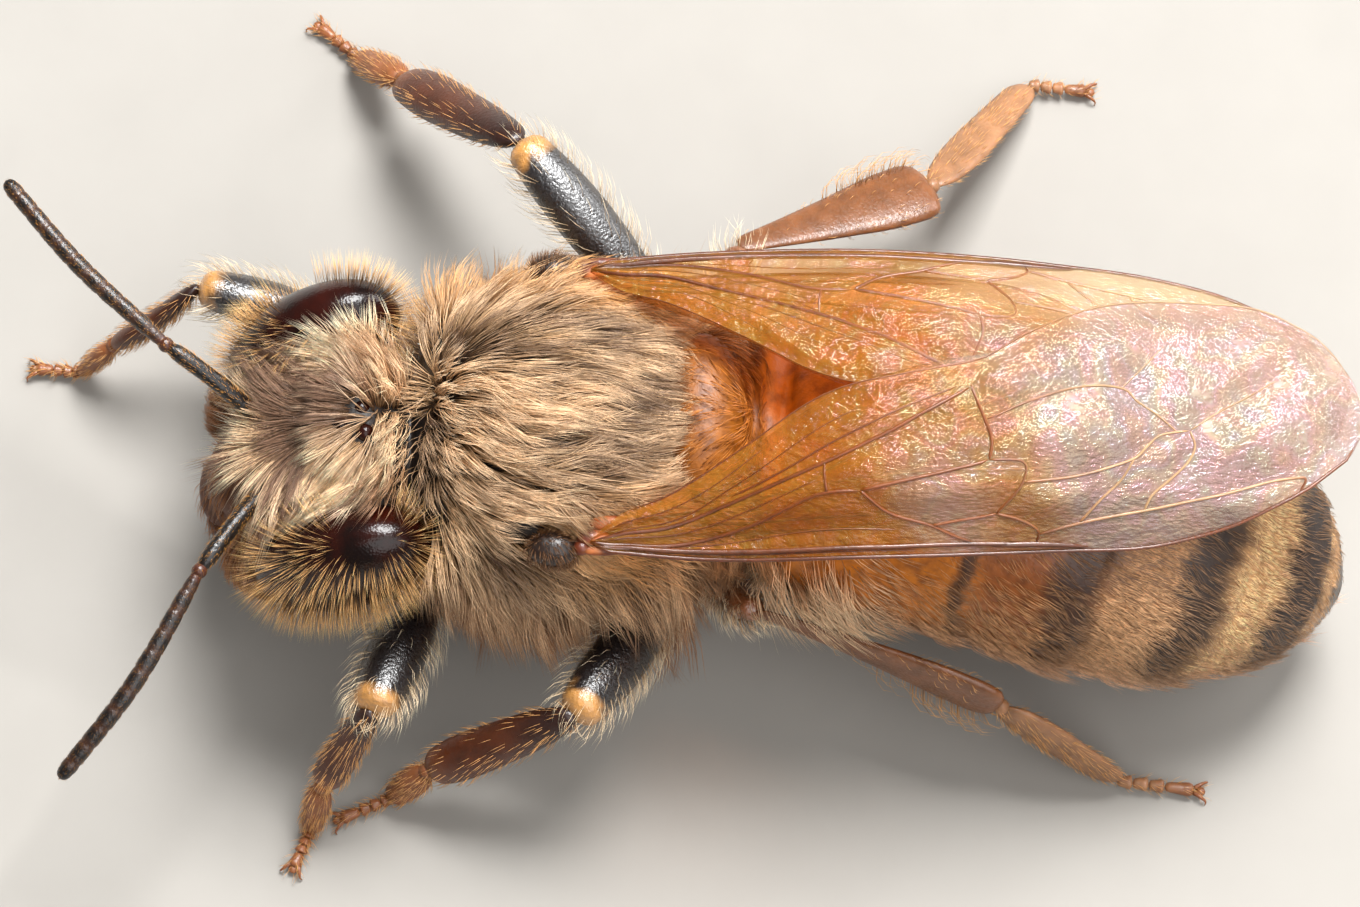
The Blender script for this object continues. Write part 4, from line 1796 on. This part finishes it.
# %% Hairs of the eyes
EYE_HAIRS, EYE_HAIR_LENGTH = 2700, 0.4
EYE_DISCS = {1: ((-2.45, 1.07), (0.36, 0.4)), -1: ((-2.96, -1.58), (0.6, 0.3))}
for side, word in BOTH_SIDES:
    rng = np.random.default_rng(50 + side)
    back = np.array(eye_space(side).inverted())

    def open_eye(points):
        """Thinner on the dark disc of the globe that faces up and a little outwards."""
        (along, across), (long, wide) = EYE_DISCS[side]
        seen = 0.94 * points[:, 0] - 0.34 * (points[:, 2] - 3.1)
        away = np.hypot((points[:, 1] - along) / long, (seen - across) / wide)
        upper = points[:, 2] > np.array(eye_space(side))[2, 3]
        return (to_head(points)[:, 2] > -0.75) * (1 - ease(1.2, 0.85, away) * upper)

    roots, normals = scatter(eye_grounds[side], EYE_HAIRS, open_eye, rng)
    ways = along_surface(rng.normal(size=roots.shape), normals)
    lengths = EYE_HAIR_LENGTH * rng.uniform(0.75, 1.1, len(roots))
    lines = shafts(roots, normals, ways, lengths, 0.95, -9.0, bends=2)
    local = roots @ back[:3, :3].T + back[:3, 3]
    turn = np.arctan2(local[:, 2] * side, local[:, 0] * side) / (2 * math.pi) + 0.5
    spots = np.stack([turn, local[:, 1] / (2 * EYE_HALF[1]) + 0.5], 1)
    colours = varied(np.tile(paint(250, 194, 128), (len(roots), 1)), rng, 0.3)
    hair_piece("eye_hair_" + word, lines, 0.003, colours, spots, EYE_HAIR, "eye", rng, root_dark=0.03,
               tip_light=1.28)

# %% [markdown]
# ## The abdomen coat
# Hair on the abdomen points to its tip. The first plates carry long pale hairs at their sides and
# hardly any on top. The pale bands get their colour from short felt lying flat on the front of a
# plate; the dark bands show through a thin cover of longer bristles.
# %% The lie of the abdomen coat
FELT_HAIR = paint(255, 216, 160)
DULL_FELT = paint(224, 176, 130)
BRISTLE_HAIR = paint(96, 68, 50)
PINK_HAIR = paint(226, 180, 150)


def turned(points, rings):
    """Degrees up from the side of the abdomen, 90 along its back."""
    return np.degrees(side_angle(points, rings))


def abdomen_ways(points, normals):
    rings = along_abdomen(points)
    lean = abdomen_axis(rings + 0.02) - abdomen_axis(rings)
    off = points - abdomen_axis(rings)
    front = ease(4.2, 3.2, rings)
    down = np.stack([0 * rings, 0 * rings, -0.35 - 0.2 * front], 1)
    out = unit(off * (1, 0, 0)) * (0.1 + 0.6 * front)[:, None]
    ways = unit(lean) + down * ease(75, 40, turned(points, rings))[:, None] + out
    return along_surface(ways + 0.16 * stray(points, 0.6, 35), normals)


back_spot = np.array([(0.6, 6.0, 3.9)])
print("abdomen hair lies along", abdomen_ways(back_spot, up)[0].round(2))

# %% Where the abdomen coat grows
def on_abdomen(points, felt):
    """How thick felt or bristles stand, from 0 to 1."""
    rings = along_abdomen(points)
    dark = band_darkness(rings, side_angle(points, rings))
    back = ease(5, 50, turned(points, rings) + 30 * ease(3.2, 2.6, rings))
    bald = back * ease(5.9, 4.9, rings) * 0.97
    bald = np.maximum(bald, ease(3.0, 2.75, rings) * ease(1.35, 1.0, np.abs(points[:, 0])))
    tip = 0.85 * ease(8.85, 9.0, rings)
    felted = ease(5.9, 6.5, rings) * (1 - dark) * (rings < 8.7)
    if not felt:
        felted = 0.4 + 0.6 * ease(45, 5, turned(points, rings))
    sparse = 1 - 0.62 * ease(4.8, 3.8, rings) * ease(2.9, 3.5, rings)
    return (points[:, 1] > WAIST_Y) * (1 - bald) * (1 - tip) * felted * sparse


print("bristles on the back there:", on_abdomen(back_spot, False).round(2))

# %% A piece of the abdomen coat
def abdomen_coat(name, count, crowd, seed, felt=False):
    rng = np.random.default_rng(seed)
    here = lambda points: crowd(points) * on_abdomen(points, felt)
    roots, normals = scatter(skin_ground, count, here, rng)
    rings = along_abdomen(roots)
    dark = band_darkness(rings, side_angle(roots, rings))
    front = ease(4.1, 3.3, rings)
    low = ease(15, -25, turned(roots, rings))
    base = 0.15 if felt else 0.27 + 0.5 * front + 0.34 * low
    lock = locks_of(roots, 6, rng)
    lengths = base * by_lock(lock, 0.65, 1.25, rng) * (1 - 0.4 * ease(8.3, 9.1, rings))
    rises = (0.2 if felt else 0.26 + 0.3 * front + 0.12 * low) * by_lock(lock, 0.6, 1.4, rng)
    ways = tousled(abdomen_ways(roots, normals), normals, lock, 0.1 if felt else 0.18, rng)
    lines = shafts(roots, normals, ways, lengths, rises, 0.1, bends=2)
    lines = gathered(lines, lock, 0.15 if felt else 0.3, rng, spread=0.02)
    colours = blend(TAN_HAIR, CREAM_HAIR, 0.8 * front + 0.35 * ease(5.8, 7, rings) * (1 - front))
    if felt:
        colours = blend(DULL_FELT, FELT_HAIR, ease(7.0, 7.5, rings))
    colours = blend(colours, BRISTLE_HAIR, 0.75 * dark * (1 - 0.7 * low))
    colours = blend(colours, PINK_HAIR, 0.6 * low * (1 - front))
    keep = outside_wings(lines)
    thick = 0.0048 if felt else 0.0042 + 0.0018 * front[keep]
    hair_piece(name, lines[keep], thick, varied(colours, rng, 0.26)[keep],
               body_unwrap(roots, 2.3, 7.1)[keep], HAIR, "abdomen_banded", rng,
               root_dark=0.78 if felt else 0.6)


# %% Growing the abdomen coat
for side, word in BOTH_SIDES:
    one_side = lambda p: ((p[:, 0] - profile(AXIS_X, p[:, 1])) * side > 0) * 1.0
    abdomen_coat("coat_abdomen_" + word, 13000, one_side, 61 + side)
    abdomen_coat("coat_felt_" + word, 8800, one_side, 71 + side, felt=True)

# %% [markdown]
# ## Hair of legs, feelers and tegulae
# Leg hair slants towards the foot. It is long on the femur, and short and stiff on the foot. The
# pollen basket of the hind tibia is bald, with long curved hairs along both of its edges. The
# feelers wear a golden down so short that it only shows as a bright edge.
# %% Growing leg hair
LEG_HAIR = paint(248, 222, 186)
LEG_SLOTS = {"femur": "leg_dark", "tibia": "leg_brown", "tarsus": "leg_amber"}


def on_leg(points, start, end, side_way, basket):
    """Along the edges of the pollen basket, mostly the lower one. Elsewhere thin on top."""
    share = np.clip(share_between(points, start, end), 0, 1)
    off = points - (np.array(start) + np.outer(share, way_to(start, end)))
    if not basket:
        return 0.22 + 0.78 * ease(0.8, 0.25, unit(off)[:, 2])
    across = off @ side_way * (-1 if side_way[2] > 0 else 1)
    return ease(0.2, 0.36, across) + 0.25 * ease(0.2, 0.36, -across) + 0.03


def grow_leg_hair(leg, part, ground, start, end, length, count):
    rng = np.random.default_rng(sum(map(ord, leg + part)))
    basket = leg.startswith("hind") and part == "tibia"
    faces = np.array(Vector(LEGS[leg]["faces"]).normalized())
    side_way = unit(np.cross(way_to(start, end), faces))
    fringe = lambda points: on_leg(points, start, end, side_way, basket)
    roots, normals = scatter(ground, count, fringe, rng)
    way = unit(way_to(start, end))
    hanging = np.array((0, 0, -0.35 if part == "femur" else -0.1))
    ways = along_surface(np.tile(way + hanging, (count, 1)), normals)
    edge = fringe(roots) if basket else np.zeros(count)
    lengths = (length + 0.45 * (edge > 0.6)) * rng.uniform(0.6, 1.25, count)
    lengths = lengths * (1.0 if basket or part == "tarsus" else 1.3)
    rises = 0.8 if basket else 0.6 if part == "femur" else 0.4
    droop, bends = (0.5, 3) if basket else (-0.1, 2)
    lines = shafts(roots, normals, ways, lengths, rises, droop, bends=bends)
    tone = LEG_HAIR if part == "femur" else blend(LEG_HAIR, GOLD_HAIR, 0.8)
    colours = varied(np.tile(tone, (count, 1)), rng, 0.25)
    around = np.arctan2((roots - start) @ side_way, (roots - start) @ faces) / (2 * math.pi) + 0.5
    spots = np.stack([around, np.clip(share_between(roots, start, end), 0, 1)], 1)
    above = (lines[:, :, 2] > FLOOR_CLEAR).all(1)
    hair_piece(f"{leg}_{part}_hair", lines[above], 0.0038, colours[above], spots[above], HAIR,
               LEG_SLOTS[part], rng, root_dark=0.5)


for leg_ground in leg_grounds:
    grow_leg_hair(*leg_ground)

# %% Down of the feelers
for i, (ground, start, end, length, count) in enumerate(feeler_grounds):
    rng = np.random.default_rng(80 + i)
    roots, normals = scatter(ground, count, everywhere, rng)
    way = unit(way_to(start, end))
    ways = along_surface(np.tile(way, (count, 1)), normals)
    lines = shafts(roots, normals, ways, length * rng.uniform(0.6, 1.2, count), 0.4, -0.3, bends=1)
    colours = varied(np.tile(GOLD_HAIR, (count, 1)), rng, 0.25)
    share = np.clip(share_between(roots, start, end), 0, 1)
    spots = np.stack([rng.random(count), share], 1)
    word = ("scape", "flagellum")[i % 2] + ("_left", "_right")[i // 2]
    hair_piece(word + "_down", lines, 0.003, colours, spots, HAIR, "feeler", rng, root_dark=0.6)

# %% Down of the tegulae
TEGULA_HAIRS = 500
for side, word in BOTH_SIDES:
    rng = np.random.default_rng(90 + side)
    roots, normals = scatter(tegula_grounds[side], TEGULA_HAIRS, lambda p: ease(3.9, 4.1, p[:, 2]), rng)
    ways = along_surface(np.tile((side * 0.6, 0.3, -0.3), (TEGULA_HAIRS, 1)), normals)
    lines = shafts(roots, normals, ways, 0.13 * rng.uniform(0.7, 1.2, TEGULA_HAIRS), 0.6, -0.5, bends=2)
    colours = varied(np.tile(paint(110, 74, 44), (TEGULA_HAIRS, 1)), rng, 0.3)
    hair_piece("tegula_down_" + word, lines, 0.0045, colours, body_unwrap(roots, -2.2, 5.0), HAIR,
               "cuticle_amber", rng)

print("coat:", sum(coat_triangles.values()), "triangles, heaviest piece", max(coat_triangles.values()))

# %% The skin goes in
finished("skin", skin_mesh, CUTICLE, "coat_cream", *SKIN_NODES)
print("the whole model:", len(TRIANGLES), "pieces,", sum(TRIANGLES.values()), "triangles")

# %% [markdown]
# ## Floor, light and camera
# The bee stands on a plain pale floor. At this scale lamps need very little power, because they are
# only centimetres away. One large soft lamp stands over the bee's right side, where it draws a sheen
# on the wings and a small highlight on each eye. A larger, weaker one fills the camera's side, a low
# one behind the bee's right lights its rim, and the world gives an even studio light. The camera
# looks down at 70 degrees through a long lens.
# %% Floor
FLOOR_SIZE = 0.4
bm = bmesh.new()
bmesh.ops.create_grid(bm, x_segments=1, y_segments=1, size=FLOOR_SIZE / 2)
floor_mesh = bpy.data.meshes.new("floor")
bm.to_mesh(floor_mesh)
bm.free()
floor = placed("floor", floor_mesh)
made, tree, shader = new_material("floor_paper", Roughness=0.85)
paper = mix(tree, paint(152, 148, 142), paint(160, 156, 150), grain(tree, 1.5, detail=4))
tree.links.new(paper, shader.inputs["Base Color"])
floor_mesh.materials.append(made)
print("the floor is", FLOOR_SIZE, "m wide")

# %% Light
CENTRE = TO_FRAME @ Vector((0.17, 1.25, 3.1))
# Name, direction, distance and size in metres, and power in watts.
LAMPS = (
    ("key", (-0.42, 0.2, 0.88), 0.14, 0.065, 0.45),
    ("fill", (0.5, 0.35, 0.8), 0.14, 0.14, 0.15),
    ("rim", (-0.5, 0.7, 0.35), 0.14, 0.06, 0.07),
)


def aimed(thing, place):
    """Puts a lamp or camera at a place, looking at the bee's middle."""
    thing.location = place
    thing.rotation_euler = (CENTRE - thing.location).to_track_quat("-Z", "Y").to_euler()


for title, way, distance, size, power in LAMPS:
    lamp = bpy.data.lights.new(title, "AREA")
    lamp.size = size
    lamp.energy = power
    aimed(placed(title, lamp), CENTRE + Vector(way).normalized() * distance)
world = bpy.data.worlds.new("studio")
world.use_nodes = True
world.node_tree.nodes["Background"].inputs["Color"].default_value = (1.0, 0.985, 0.96, 1)
world.node_tree.nodes["Background"].inputs["Strength"].default_value = 0.2
bpy.context.scene.world = world
bpy.context.scene.view_settings.view_transform = "Standard"
print("lamps:", [title for title, *_ in LAMPS])

# %% Camera
CAMERA_DISTANCE = 0.09
CAMERA_TILT = math.radians(70)
camera_data = bpy.data.cameras.new("camera")
camera_data.lens = 200
camera_data.sensor_width = 36
camera_data.clip_start = 0.005
camera_data.clip_end = 2
camera = placed("camera", camera_data)
aimed(camera, CENTRE + Vector((math.cos(CAMERA_TILT), 0, math.sin(CAMERA_TILT))) * CAMERA_DISTANCE)
bpy.context.scene.camera = camera
print("the camera stands at", [round(v, 3) for v in camera.location], "m")
